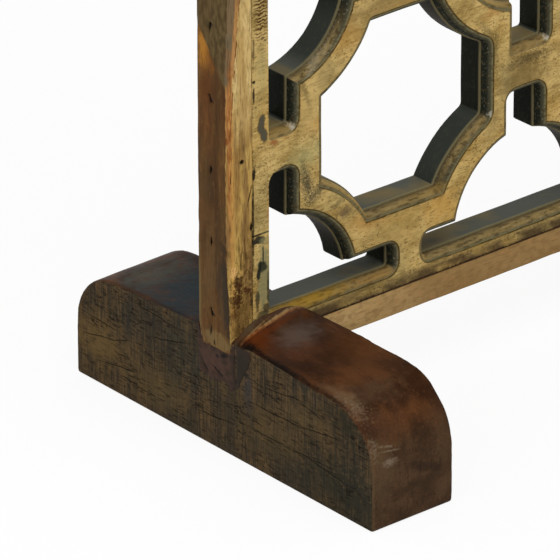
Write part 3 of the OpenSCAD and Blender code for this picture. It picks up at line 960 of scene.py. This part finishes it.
def board_material(number, tint, seen):
    """Elm, carved and waxed. The faces are rubbed yellow, and the hollows keep a green-black stain, with painted light
    where they face up and painted highlights on the mouldings.
    """
    material, tree = new_material(f"waxed_elm_plank_{number}")
    seed = number * 1.7
    where = add(tree, "ShaderNodeTexCoord").outputs["Object"]
    facing = add(tree, "ShaderNodeNewGeometry").outputs["Normal"]
    split = add(tree, "ShaderNodeSeparateXYZ", {0: facing})
    up = split.outputs["Z"]
    carving = add(tree, "ShaderNodeAttribute", attribute_name="carving")
    tones = add(tree, "ShaderNodeSeparateColor", {0: carving.outputs["Color"]})
    line_tone, across, wall = tones.outputs[0], tones.outputs[1], tones.outputs[2]
    fillet = carving.outputs["Alpha"]

    grain = streaks(tree, where, 1.1, (6, 1, 1), 5.0, seed)
    mottle = streaks(tree, where, 3.2, (1.5, 1, 1), 6.0, seed + 2)
    cloud = streaks(tree, where, 15, (1.5, 1, 1), 5.0, seed + 3)
    drift = streaks(tree, where, 48, (1.2, 1, 1), 3.0, seed + 9)
    speck = streaks(tree, where, 1.2, (1.6, 1, 1), 2.0, seed + 5)
    frayed = fray(tree, where, 5, 1.8, seed + 7)
    dotted = fray(tree, where, 1.3, 3.6, seed + 8)

    face = laid(tree, "#9b8149", "#c3a668", cloud, 0.36, 0.62)
    face = laid(tree, face, "#b08a45", drift, 0.52, 0.68, 0.45)
    face = laid(tree, face, "#938556", drift, 0.48, 0.34, 0.45)
    face = laid(tree, face, "#7d6638", mottle, 0.48, 0.34, 0.38)
    face = laid(tree, face, "#cfb376", mottle, 0.54, 0.70, 0.3)
    face = laid(tree, face, "#6d572f", grain, 0.52, 0.66, 0.38)
    face = laid(tree, face, "#d3ba80", grain, 0.47, 0.33, 0.3)
    face = laid(tree, face, "#4a391c", speck, 0.59, 0.67, 0.6)
    face = add(tree, "ShaderNodeMix", {0: 0.2, 6: face, 7: tint}, data_type="RGBA", blend_type="MULTIPLY").outputs[2]
    if seen:
        face = stained(tree, face, where, frayed, "front", FACE_TONES, 0.8)
        face = stained(tree, face, where, dotted, "front", FACE_GRIME, 0.9)
    grime = beyond(tree, where, dotted, (0, 0, 79.0), (0, 0, -1), 3.0, 0.9)
    face = laid(tree, face, "#3d2e1e", cloud, 0.30, 0.56, grime)
    seam = beyond(tree, where, dotted, (0, 0, 72.6), (0, 0, -1), 0.8, 0.85)
    face = laid(tree, face, "#2b1a10", seam, 0.0, 1.0)
    if seen:
        curls = add(
            tree, "ShaderNodeTexWave",
            {"Vector": where, "Scale": per_metre(2.3) / 3.2, "Distortion": 9.0, "Detail": 3.0, "Detail Scale": 1.6},
            bands_direction="Z",
        ).outputs[1]
        place = patch(tree, where, frayed, (-409.0, FRONT_Y, 286), (5.5, 2.5, 19), 0, 1, 0.6, 0.9)
        face = laid(tree, face, "#43260f", curls, 0.36, 0.62, place)
        crazed = patch(tree, where, frayed, (-409.0, FRONT_Y, 178), (9, 2.5, 24), 0, 1, 0.6, 0.6)
        face = laid(tree, face, "#5b4522", hairlines(tree, where, 2.6, (1.6, 1, 1), 0.03, seed), 0.0, 1.0, crazed)
        face = stained(tree, face, where, frayed, "front", STILE_STAINS, 0.35)
        face = stained(tree, face, where, fray(tree, where, 3, 0.5, 3.0), "front", PUTTY, 0.25)

    # Side and lower mouldings keep the stain, and those that face up or to the right are laid a dull gold, partly
    # rubbed wax and partly painted light
    rubbing = streaks(tree, where, 2.0, (3.5, 1, 1), 5.0, seed + 4)
    # Darker towards the fillet: the stain, and painted shade deeper in the hollow
    moulding = laid(tree, "#1d2019", "#413f30", across, 0.66, 0.42)
    moulding = laid(tree, moulding, "#6e6647", across, 0.40, 0.18, 0.9)
    moulding = laid(tree, moulding, "#2b2a20", rubbing, 0.50, 0.36, 0.5)
    # Pale specks on the dark moulding are painted highlights
    moulding = laid(tree, moulding, "#8a826a", speck, 0.58, 0.70, 0.35)
    golden = laid(tree, "#695835", "#857147", rubbing, 0.36, 0.62)
    # Lighter near the face and darker towards the fillet, partly painted shade of the hollow
    golden = laid(tree, golden, "#a58b50", across, 0.44, 0.20, 0.8)
    golden = laid(tree, golden, "#463c28", across, 0.66, 0.98, 0.8)
    golden = laid(tree, golden, "#463a23", rubbing, 0.46, 0.34, 0.45)
    # Pale specks on the golden moulding are painted highlights
    golden = laid(tree, golden, "#98917c", speck, 0.58, 0.70, 0.3)
    worn = add(tree, "ShaderNodeMapRange", {"Value": cloud, 1: 0.32, 2: 0.46, 3: 0.7, 4: 1.0}).outputs[0]
    # Golden where the moulding faces up or right: partly rubbed wax, partly painted light
    moulding = laid(tree, moulding, golden, up, 0.25, 0.75, worn)
    moulding = laid(tree, moulding, "#806a3c", split.outputs["X"], 0.1, 0.5, 0.75)
    up_right = add(tree, "ShaderNodeMath", {0: up, 1: split.outputs["X"]}, operation="MINIMUM").outputs[0]
    moulding = laid(tree, moulding, "#a48a52", up_right, 0.15, 0.5, 0.6)
    line_share = add(tree, "ShaderNodeMapRange", {"Value": mottle, 1: 0.34, 2: 0.5, 3: 0.6, 4: 0.92}).outputs[0]
    if seen:
        moulding = stained(tree, moulding, where, frayed, "hollow", HOLLOW_STAINS, 0.8)
        moulding = laid(tree, moulding, "#4b3b20", rubbing, 0.47, 0.35, 0.4)
        # Glints at the mouldings' corners are painted highlights
        moulding = stained(tree, moulding, where, dotted, "hollow", PAINTED_GLINTS, 0.7)
        # Under two slots the moulding is rubbed down into the face, with no dark line between
        for centre in ((-401, FRONT_Y, 202), (-197, FRONT_Y, 198)):
            bare = patch(tree, where, frayed, centre, (13, 6, 6), 0, 1, 0.5)
            left_of_it = {0: line_share, 1: bare}
            line_share = add(tree, "ShaderNodeMath", left_of_it, operation="SUBTRACT", use_clamp=True).outputs[0]

    # Walls keep a near-black stain; those facing up are painted lighter, which is painted light from above, and those
    # facing down browner
    walls_with_painted_light = laid(tree, "#171812", "#2d302a", up, 0.15, 0.6)
    walls_with_painted_light = laid(tree, walls_with_painted_light, "#4a4c44", up, 0.84, 0.98)
    browned = add(tree, "ShaderNodeMapRange", {"Value": drift, 1: 0.46, 2: 0.60}).outputs[0]
    walls_with_painted_light = laid(tree, walls_with_painted_light, "#6b5d3c", up, 0.94, 0.99, browned)
    walls_with_painted_light = laid(tree, walls_with_painted_light, "#55523c", mottle, 0.52, 0.68, 0.1)
    walls_with_painted_light = laid(tree, walls_with_painted_light, "#2c2518", up, -0.2, -0.8)
    if seen:
        rubbed = patch(tree, where, frayed, (-409, -2, 208), (8, 8, 7), 0, 1, 0.5, 0.85)
        walls_with_painted_light = laid(tree, walls_with_painted_light, "#7d6540", up, 0.5, 0.9, rubbed)
    carved = laid(tree, moulding, walls_with_painted_light, wall, 0.0, 1.0)
    carved = laid(tree, carved, "#7a7050", fillet, 0.0, 1.0, 0.65)

    base = laid(tree, face, carved, across, 0.04, 0.14)
    base = laid(tree, base, "#33270f", line_tone, 0.0, 1.0, line_share)
    height = add(tree, "ShaderNodeMath", {0: mottle, 1: grain}, operation="ADD").outputs[0]
    surface(tree, base, 0.55, height, 0.35, 0.03)
    return material


# Stains on the post's outer side: colour, share, Y, Z, half width, half height, turn
WEDGE_STAINS = (
    ("#a8722b", 0.85, 14.5, 263, 4.6, 13, 0), ("#8f5a22", 0.45, 9.0, 256, 3.2, 7, -20),
    ("#4d2e15", 0.60, 11, 238, 7, 9, 0), ("#3f2d1c", 0.45, 10, 146, 9, 44, 0),
    ("#643a1c", 0.45, 12, 226, 6, 24, 0), ("#4a2f18", 0.55, -4, 222, 3, 16, 0),
)
# The first two, dark strips near the front arris low down, are painted shade
POST_SIDE_STAINS_AND_SHADE = (
    ("#2c261f", 0.85, -6.0, 104, 3.4, 30, -5), ("#3a3125", 0.55, -2.0, 104, 4.5, 24, -5),
    ("#6e5c38", 0.75, 19.6, 104, 1.5, 32, 0), ("#745e3a", 0.75, 4, 73, 14, 5.5, 0),
    ("#1d140c", 0.95, 8.8, 78.6, 0.8, 3.4, 8), ("#1d140c", 0.90, 5.8, 71.4, 0.8, 1.8, 0),
    ("#664d2e", 0.50, 10, 120, 5, 26, 0), ("#3b2613", 0.50, 3, 190, 2.5, 30, 0),
)
# Stains on the post's front: colour, share, X, Z, half width, half height, turn
POST_FRONT_TONES = (
    ("#6f4c26", 0.50, -428.5, 180, 2.6, 30, 0), ("#63441f", 0.50, -425.0, 207, 1.6, 12, 0),
    ("#6f502a", 0.40, -421.0, 150, 2.5, 26, 0), ("#6a5029", 0.60, -423.0, 96, 10, 14, 0),
    ("#c4944e", 0.65, -431.8, 160, 1.5, 62, 0), ("#a06636", 0.70, -433.9, 206, 1.4, 46, 0),
)
POST_BURNS = (
    ("#d6a868", 0.85, -431.2, 122.5, 2.0, 3.4, 0), ("#34180d", 0.90, -427.8, 112.5, 3.0, 5.2, 0),
    ("#34180d", 0.85, -429.0, 103, 4.2, 5.0, 0), ("#3c1d10", 0.80, -420.6, 107.5, 3.4, 1.9, 35),
    ("#2a1a0e", 0.80, -417.4, 100, 1.3, 4.0, 0), ("#4c2e18", 0.60, -430, 94, 2.4, 4.5, 0),
)
POST_MARKS = (
    ("#1a0f08", 0.95, -424.3, 193.6, 1.5, 1.3, 0), ("#22150b", 0.90, -418.8, 169.3, 0.6, 5.8, 15),
    ("#1a110a", 0.95, -417.4, 148.4, 0.9, 2.8, 0), ("#26170c", 0.90, -433.2, 183, 0.45, 7.5, 0),
    ("#2c1c0f", 0.60, -416.3, 120, 0.5, 46, 0), ("#3b2815", 0.65, -425.5, 128, 0.7, 7, 5),
    ("#432c16", 0.55, -422.3, 134, 0.6, 9, -4), ("#3b2815", 0.55, -427.2, 140, 0.5, 6, 0),
)
BAND_SIDE = (-0.9955, 0.0, 0.094)


def post_material():
    """Hardwood with a brown stain, waxed; the front is rubbed pale, the outer side keeps its stain."""
    material, tree = new_material("waxed_post_wood")
    where = add(tree, "ShaderNodeTexCoord").outputs["Object"]
    left = left_copy(tree, where)
    pit = add(tree, "ShaderNodeAttribute", attribute_name="pit").outputs["Fac"]
    fine = streaks(tree, where, 1.1, (1, 1, 9), 6.0, 2.0)
    mottle = streaks(tree, where, 3.0, (1, 1, 2.4), 5.0, 5.0)
    broad = streaks(tree, where, 6, (1, 1, 6), 4.0, 6.0)
    cloud = streaks(tree, where, 26, (1, 1, 2.2), 3.0, 8.0)
    frayed = fray(tree, where, 4, 1.6, 4.0)
    coarse = fray(tree, where, 6, 3.2, 9.0)
    dotted = fray(tree, where, 1.6, 3.6, 5.0)

    side = laid(tree, "#4a311a", "#644524", broad, 0.36, 0.64)
    side = laid(tree, side, "#4d3c24", cloud, 0.46, 0.66, 0.6)
    side = laid(tree, side, "#795a33", mottle, 0.54, 0.68, 0.4)
    olive = laid(tree, "#4a3c23", "#615031", mottle, 0.38, 0.62)
    olive = laid(tree, olive, "#553f26", cloud, 0.46, 0.62, 0.6)
    side = stained(tree, side, left, frayed, "outer", WEDGE_STAINS, 0.7)
    wedge = beyond(tree, left, coarse, (-434, 6.2, 259), (0.0, -0.818, 0.575), 1.2)
    side = laid(tree, side, olive, wedge, 0.0, 1.0)
    # Besides stains, this lays painted shade along the front arris low down
    side = stained(tree, side, left, frayed, "outer", POST_SIDE_STAINS_AND_SHADE, 0.4)

    front = laid(tree, "#b3945a", "#cdb176", broad, 0.36, 0.64)
    brown = laid(tree, "#80623a", "#b3914f", broad, 0.38, 0.60)
    height_fray = fray(tree, where, 9, 60.0, 12.0)
    low_part = beyond(tree, left, height_fray, (0, 0, 216), (0, 0, -1), 40)
    front = laid(tree, front, brown, low_part, 0.0, 1.0)
    front = laid(tree, front, "#80632f", mottle, 0.48, 0.34, 0.35)
    lowest = beyond(tree, left, coarse, (0, 0, 136), (0, 0, -1), 22, 0.65)
    front = laid(tree, front, "#4f3818", mottle, 0.50, 0.38, lowest)
    front = laid(tree, front, "#2c1d0f", hairlines(tree, where, 4.5, (1, 1, 1.5), 0.03, 7.0), 0.0, 1.0, lowest)
    band = beyond(tree, left, frayed, (-428.9, 0, 272), BAND_SIDE, 0.5, 0.8)
    front = laid(tree, front, "#a2743f", band, 0.0, 1.0)
    strip = beyond(tree, left, frayed, (-431.4, 0, 272), BAND_SIDE, 0.5, 0.9)
    front = laid(tree, front, "#675b45", strip, 0.0, 1.0)
    for first, tint in ((-427.8, "#6b3d1c"), (-428.6, "#a87c4a")):
        edge = beyond(tree, left, frayed, (first, 0, 272), BAND_SIDE, 0.3)
        edge = add(tree, "ShaderNodeMath", {0: edge, 1: strip}, operation="SUBTRACT").outputs[0]
        dashes = streaks(tree, where, 7, (1, 1, 1.6), 3.0, 13.0)
        front = laid(tree, front, tint, dashes, 0.42, 0.5, edge)
    front = stained(tree, front, left, frayed, "front", POST_FRONT_TONES, 0.6)
    front = stained(tree, front, left, dotted, "front", POST_BURNS, 0.6)
    front = stained(tree, front, left, frayed, "front", POST_MARKS, 0.35)

    # The front's colour wraps round the worn arris, furthest between the second and the third nail
    wide = patch(tree, left, 0.0, (-434, FRONT_Y, 196), (60, 60, 86), 0, 1, 0.5, 3.2)
    reach = add(tree, "ShaderNodeMath", {0: coarse, 1: wide}, operation="ADD").outputs[0]
    wrapped = beyond(tree, left, reach, (0, FRONT_Y + 0.4, 0), (0, -1, 0), 0.5)
    base = laid(tree, side, front, wrapped, 0.0, 1.0)
    red = patch(tree, left, frayed, (-434, FRONT_Y - 1, 200), (2.0, 3.4, 52), 0, 1, 0.7, 0.8)
    base = laid(tree, base, "#8a5527", mottle, 0.42, 0.54, red)
    base = laid(tree, base, "#c09050", fine, 0.50, 0.38, red)
    base = laid(tree, base, "#572b14", broad, 0.50, 0.62, red)
    base = laid(tree, base, "#3f2c17", fine, 0.52, 0.68, 0.5)
    base = laid(tree, base, "#120c07", pit, 0.05, 0.6)
    surface(tree, base, 0.5, fine, 0.35, 0.03)
    return material


def rail_material():
    """Pale hardwood, planed, with little wax left on it."""
    material, tree = new_material("planed_rail_wood")
    where = add(tree, "ShaderNodeTexCoord").outputs["Object"]
    fine = streaks(tree, where, 1.1, (7, 1, 1), 6.0, 1.0)
    mottle = streaks(tree, where, 3.0, (1.6, 1, 1), 5.0, 2.0)
    broad = streaks(tree, where, 16, (2.5, 1, 1), 4.0, 5.0)
    # The rail darkens towards the middle of the screen
    far = add(tree, "ShaderNodeSeparateXYZ", {0: where}).outputs["X"]
    base = laid(tree, "#a48656", "#bd9c69", broad, 0.36, 0.64)
    base = laid(tree, base, "#7b5f37", far, -0.325, -0.27, 0.75)
    base = laid(tree, base, "#7b5c38", mottle, 0.50, 0.36, 0.45)
    base = laid(tree, base, "#a8764a", mottle, 0.56, 0.70, 0.4)
    base = laid(tree, base, "#6a5030", fine, 0.52, 0.70, 0.4)
    surface(tree, base, 0.6, fine, 0.3, 0.03)
    return material


# Stains on the foot, with some painted sheen, shade and highlights: colour, share, two places, two half sizes, turn
# The blue-black and grey patches at the back and the grey patch in front of the board are painted reflection, the
# sheen of the wax
FOOT_TOP_TONES_AND_SHEEN = (
    ("#1c2a2f", 0.92, -404, 56, 46, 40, 0), ("#46453a", 0.70, -410, 98, 24, 15, 0),
    ("#3d2411", 0.70, -435, 92, 3.4, 42, 0), ("#220f05", 0.60, -398, -62, 24, 12, 25),
    ("#5f2d10", 0.75, -424, -22, 12, 10, 0), ("#3f1f0b", 0.65, -414, -38, 16, 14, 0),
    ("#52443a", 0.75, -400, -31, 14, 10, 20), ("#4a2c15", 0.55, -388, -80, 14, 24, 0),
    ("#57412e", 0.50, -410, -112, 20, 10, 0), ("#6a5740", 0.50, -426, -104, 6, 14, 0),
)
FOOT_TOP_SCUFFS = (
    ("#7d6c56", 0.50, -428, -122, 5, 14, 0), ("#6b5638", 0.50, -420, -130, 8, 8, 0),
)
# The black patch in the pit at the outer corner and the dark lines along the outer top arris are painted shade; the
# thin orange lines along the collar's crest are painted highlights
COLLAR_MARKS_SHADE_AND_HIGHLIGHT = (
    ("#0f0e0d", 0.95, -432, -21, 5.0, 9.0, 0), ("#120e0b", 0.90, -432.5, -58, 2.6, 44, 0),
    ("#120e0b", 0.60, -432.2, -110, 1.8, 16, 0), ("#3f3028", 0.90, -388, -9.9, 17, 2.6, 4),
    ("#4b3c29", 0.85, -418, -10.2, 15, 2.4, 8), ("#8c5428", 0.60, -397, -12.4, 20, 0.45, 7),
    ("#8a4d20", 0.55, -420, -14.8, 12, 0.5, 10), ("#56290e", 0.60, -408, -16.4, 20, 1.6, 8),
    ("#9a7c50", 0.75, -394, -11.2, 20, 0.6, 7), ("#83653f", 0.65, -419, -13.4, 12, 0.5, 10),
)
FOOT_END_TONES = (
    ("#54412c", 0.50, -426, 44, 7, 34, 0), ("#241810", 0.60, -392, 31, 14, 3.0, 20),
    ("#281b11", 0.50, -406, 21, 9, 3, -20), ("#523c28", 0.40, -376, 40, 4, 34, 0),
)
FOOT_END_SCUFFS = (
    ("#7d6e5b", 0.60, -421, 52.5, 4.5, 0.6, 12), ("#7d6e5b", 0.50, -419, 49.5, 5.5, 0.5, 8),
    ("#80715f", 0.50, -420, 43, 4, 2.0, 0), ("#8a7a62", 0.45, -430, 60, 3.0, 9, 0),
    ("#5f4b36", 0.40, -433, 30, 1.0, 40, 0),
)
FOOT_SIDE_STAINS = (
    ("#6a5430", 0.60, 117, 29, 19, 15, 0), ("#5a4a2e", 0.50, 60, 20, 24, 14, 0),
    ("#26271f", 0.60, -112, 18, 34, 20, 0), ("#2f302a", 0.55, 36, 52, 22, 20, 0),
    ("#33353a", 0.55, -25, 48, 3.5, 15, 0),
    ("#56462b", 0.45, -45, 30, 26, 14, 0), ("#26251d", 0.60, -118, 62, 20, 10, 0),
    ("#2f2c24", 0.45, -10, 30, 14, 16, 0), ("#5c4b2e", 0.40, -78, 52, 16, 8, 0),
)


def foot_material():
    """Dark hardwood: rough from the saw on the sides, planed and waxed brown on the top and ends."""
    material, tree = new_material("waxed_foot_wood")
    where = add(tree, "ShaderNodeTexCoord").outputs["Object"]
    left = left_copy(tree, where)
    bent_left = crooked(tree, left, 7, 2.6)
    facing = add(tree, "ShaderNodeNewGeometry").outputs["Normal"]
    split = add(tree, "ShaderNodeSeparateXYZ", {0: facing})
    outward = add(tree, "ShaderNodeMath", {0: split.outputs["X"]}, operation="ABSOLUTE").outputs[0]
    saw = streaks(tree, where, 1.4, (1, 1, 14), 4.0, 3.0)
    finer = streaks(tree, where, 0.9, (1, 3, 3), 3.0, 19.0)
    saw_bands = streaks(tree, where, 7, (1, 1, 7), 4.0, 4.0)
    grain = streaks(tree, where, 1.0, (1, 8, 1), 5.0, 6.0)
    broad = streaks(tree, where, 18, (1, 1.8, 1), 4.0, 9.0)
    cloud = streaks(tree, where, 42, (1, 1.5, 1), 3.0, 11.0)
    mottle = streaks(tree, where, 2.6, (1, 1.6, 1), 5.0, 12.0)
    upright = streaks(tree, where, 1.8, (1, 1, 7), 4.0, 16.0)
    frayed = fray(tree, where, 6, 1.8, 4.0)
    dotted = fray(tree, where, 1.6, 3.4, 6.0)
    tight = fray(tree, where, 3, 1.0, 5.0)

    rough = laid(tree, "#3d3326", "#53422b", saw_bands, 0.34, 0.66)
    rough = laid(tree, rough, "#272623", saw, 0.52, 0.36, 0.6)
    rough = laid(tree, rough, "#66523a", saw, 0.52, 0.68, 0.4)
    rough = laid(tree, rough, "#23211c", finer, 0.50, 0.36, 0.4)
    rough = laid(tree, rough, "#2f2e28", cloud, 0.50, 0.34, 0.5)
    rough = stained(tree, rough, left, frayed, "outer", FOOT_SIDE_STAINS, 0.8)
    rough = laid(tree, rough, "#6f5a3c", mottle, 0.56, 0.72, 0.25)
    rough = laid(tree, rough, "#1f1a12", grain, 0.55, 0.65, 0.65)
    some = add(
        tree, "ShaderNodeMapRange",
        {"Value": streaks(tree, where, 14, (1, 1.5, 1), 3.0, 15.0), 1: 0.46, 2: 0.56, 4: 0.85},
    ).outputs[0]
    cracks = hairlines(tree, where, 4.0, (1, 6, 1), 0.02, 21.0)
    rough = laid(tree, rough, "#120e09", cracks, 0.0, 1.0, some)
    rough = stained(tree, rough, bent_left, tight, "outer", drawn(FOOT_CRACKS, "#110d08", 0.8, 0.42), 0.35)

    waxed = laid(tree, "#301b0c", "#54331a", broad, 0.36, 0.64)
    waxed = laid(tree, waxed, "#412a1c", cloud, 0.48, 0.66, 0.6)
    end_wood = laid(tree, "#38281a", "#4a3624", broad, 0.36, 0.64)
    end_wood = laid(tree, end_wood, "#2a1c12", upright, 0.52, 0.68, 0.4)
    waxed = laid(tree, waxed, end_wood, split.outputs["Z"], 0.75, 0.2)
    waxed = laid(tree, waxed, "#24150b", grain, 0.54, 0.68, 0.5)
    waxed = laid(tree, waxed, "#623f26", mottle, 0.56, 0.70, 0.28)
    # The top's tones include a painted sheen
    waxed = stained(tree, waxed, left, frayed, "top", FOOT_TOP_TONES_AND_SHEEN, 0.8)
    waxed = stained(tree, waxed, left, dotted, "top", FOOT_TOP_SCUFFS, 0.9)
    # Collar marks with painted shade and painted highlights
    waxed = stained(tree, waxed, left, fray(tree, where, 2.6, 2.0, 8.0), "top", COLLAR_MARKS_SHADE_AND_HIGHLIGHT, 0.7)
    waxed = stained(tree, waxed, left, frayed, "end", FOOT_END_TONES, 0.6)
    waxed = stained(tree, waxed, left, dotted, "end", FOOT_END_SCUFFS, 0.9)
    base = laid(tree, waxed, rough, outward, 0.72, 0.9)
    height = laid(tree, mottle, saw, outward, 0.72, 0.9)
    gloss = add(tree, "ShaderNodeMapRange", {"Value": outward, 1: 0.7, 2: 0.9, 3: 0.45, 4: 0.8}).outputs[0]
    surface(tree, base, gloss, height, 0.5, 0.03)
    return material


# Marks on the filler: colour, share, Y, Z, half width, half height, turn
FILLER_STAINS = (
    ("#4f382d", 0.50, 8, 58, 9, 7, 0), ("#28221b", 0.90, -20, 62, 9, 17, 0), ("#191310", 0.90, 3.3, 63.2, 1.6, 1.2, 0),
    ("#191310", 0.90, -3.0, 65.6, 3.4, 1.4, -25), ("#2c241f", 0.50, -14, 50, 2.4, 6, 0),
)


def filler_material():
    """Shellac filler, pressed in warm and gone dull: smooth, purple-brown, with dark slits."""
    material, tree = new_material("shellac_filler")
    where = add(tree, "ShaderNodeTexCoord").outputs["Object"]
    left = left_copy(tree, where)
    marks = streaks(tree, where, 5.0, (1, 1, 1), 5.0, 2.0)
    tight = fray(tree, where, 3, 1.0, 5.0)
    base = laid(tree, "#31241d", "#423026", marks, 0.36, 0.64)
    base = stained(tree, base, left, tight, "outer", FILLER_STAINS, 0.5)
    base = stained(tree, base, left, tight, "outer", drawn(FILLER_SLITS, "#120d0a", 0.95, 0.6), 0.35)
    surface(tree, base, 0.55, marks, 0.4, 0.05)
    return material


def plain_material(name, dark, light, size, roughness, metallic, relief):
    """A finish with no grain: rusted iron or dull zinc."""
    material, tree = new_material(name)
    where = add(tree, "ShaderNodeTexCoord").outputs["Object"]
    marks = streaks(tree, where, size, (1, 1, 1), 5.0, 2.0)
    base = laid(tree, dark, light, marks, 0.35, 0.65)
    bump = add(tree, "ShaderNodeBump", {"Strength": 0.4, "Distance": relief * MM, "Height": marks})
    shader = add(
        tree, "ShaderNodeBsdfPrincipled",
        {"Base Color": base, "Roughness": roughness, "Metallic": metallic, "Normal": bump.outputs[0]},
    )
    add(tree, "ShaderNodeOutputMaterial", {"Surface": shader.outputs[0]})
    return material


# The pieces

TINTS = ("#fff4dc", "#fffaf0", "#f6efdf", "#fff6e6", "#fff2e0")
SEEN_PLANKS = 2
board = whole_board()
for number, (low, high) in enumerate(plank_boxes, 1):
    make_piece(
        plank_from(board, low.z, high.z), f"carved_plank_{number}", [f"fretwork_plank_{number}"],
        board_material(number, TINTS[number - 1], number <= SEEN_PLANKS),
    )
board.free()

pairs = (
    (left_post(), "stained_post", "post", "post_wood", post_material()),
    (left_foot(), "waxed_foot", "foot", "foot_wood", foot_material()),
    (left_filler(), "smeared_filler", "joint_filler", "filler", filler_material()),
)
for bm, name, node, slot, material in pairs:
    other = mirrored(bm)
    make_piece(bm, f"left_{name}", [f"left_{node}"], material)
    make_piece(other, f"right_{name}", [f"right_{node}"], material)

rail_wood = rail_material()
end_gap = Vector((rail_end_gap, 0, 0))
for name, node, low, high in (
    ("planed_bottom_rail", "bottom_rail", rail_low + end_gap, rail_high - end_gap),
    ("planed_top_rail", "top_rail", top_rail_low, top_rail_high),
):
    cuts = [spaced(low[axis] + 1.0, high[axis] - 1.0, (9.0, 4.0, 4.0)[axis]) for axis in range(3)]
    make_piece(timber(low, high, 0.9, cuts, 0.15, 6.0), name, [node], rail_wood)

CAD_FINISHES = {
    "left_post_nails": plain_material("rusted_nail_iron", "#1d1712", "#3b2a1e", 1.0, 0.7, 0.6, 0.3),
    "left_foot_screws": plain_material("dull_zinc", "#7d7a72", "#a19d92", 1.5, 0.45, 1.0, 0.1),
}
for node, material in CAD_FINISHES.items():
    for side in ("left", "right"):
        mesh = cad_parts[node.replace("left", side)].data
        mesh.materials.clear()
        mesh.materials.append(material)


# Floor, light and camera

bm = bmesh.new()
bmesh.ops.create_grid(bm, x_segments=1, y_segments=1, size=6.0)
floor_mesh = bpy.data.meshes.new("pale_floor")
bm.to_mesh(floor_mesh)
bm.free()
floor = bpy.data.objects.new("pale_floor", floor_mesh)
bpy.context.scene.collection.objects.link(floor)
material, tree = new_material("pale_studio_floor")
path = add(tree, "ShaderNodeLightPath")
matt = add(tree, "ShaderNodeBsdfDiffuse", {"Color": "#f4f4f4"})
glow = add(tree, "ShaderNodeEmission", {"Color": "#ffffff", "Strength": 1.0})
mirrored_rays = {0: path.outputs["Is Glossy Ray"], 1: path.outputs["Is Transmission Ray"]}
mirrored_rays = add(tree, "ShaderNodeMath", mirrored_rays, operation="MAXIMUM").outputs[0]
seen_rays = {0: path.outputs["Is Camera Ray"], 1: mirrored_rays}
seen_rays = add(tree, "ShaderNodeMath", seen_rays, operation="MAXIMUM").outputs[0]
shown = add(tree, "ShaderNodeMath", {0: seen_rays, 1: 0.9}, operation="MULTIPLY")
mixed = add(tree, "ShaderNodeMixShader", {0: shown.outputs[0], 1: matt.outputs[0], 2: glow.outputs[0]})
add(tree, "ShaderNodeOutputMaterial", {"Surface": mixed.outputs[0]})
floor_mesh.materials.append(material)

world = bpy.data.worlds.new("soft_studio")
world.use_nodes = True
tree = world.node_tree
tree.nodes.clear()
path = add(tree, "ShaderNodeLightPath")
mirrored_rays = {0: path.outputs["Is Glossy Ray"], 1: path.outputs["Is Transmission Ray"]}
mirrored_rays = add(tree, "ShaderNodeMath", mirrored_rays, operation="MAXIMUM").outputs[0]
seen_rays = {0: path.outputs["Is Camera Ray"], 1: mirrored_rays}
shown = add(tree, "ShaderNodeMath", seen_rays, operation="MAXIMUM")
level = add(tree, "ShaderNodeMapRange", {"Value": shown.outputs[0], 3: 0.75, 4: 1.0})
sky = add(tree, "ShaderNodeBackground", {"Color": "#ffffff", "Strength": level.outputs[0]})
add(tree, "ShaderNodeOutputWorld", {"Surface": sky.outputs[0]})
bpy.context.scene.world = world

# A large soft box above and in front, and a weaker one from the left
for name, place, target, size, power in (
    ("overhead_softbox", (-0.6, -1.2, 2.6), (-0.2, 0.0, 0.1), 1.6, 26.0),
    ("left_softbox", (-2.6, -0.6, 1.2), (-0.4, 0.0, 0.15), 1.4, 8.0),
):
    data = bpy.data.lights.new(name, "AREA")
    data.shape = "DISK"
    data.size = size
    data.energy = power
    lamp = bpy.data.objects.new(name, data)
    lamp.location = place
    lamp.rotation_euler = (Vector(target) - Vector(place)).to_track_quat("-Z", "Y").to_euler()
    bpy.context.scene.collection.objects.link(lamp)

CAMERA_PLACE = Vector((-3.0101, -3.1300, 2.0974))
CAMERA_TARGET = Vector((-0.3780, 0.0113, 0.0933))
CAMERA_ROLL = math.radians(-0.17)
camera_data = bpy.data.cameras.new("photo_camera")
camera_data.sensor_width = 36.0
camera_data.lens = 484.7
camera_data.clip_end = 50.0
camera = bpy.data.objects.new("photo_camera", camera_data)
camera.location = CAMERA_PLACE
camera.rotation_mode = "QUATERNION"
look = (CAMERA_TARGET - CAMERA_PLACE).to_track_quat("-Z", "Y")
camera.rotation_quaternion = look @ Quaternion((0, 0, 1), CAMERA_ROLL)
bpy.context.scene.collection.objects.link(camera)
bpy.context.scene.camera = camera
bpy.context.scene.view_settings.view_transform = "Standard"
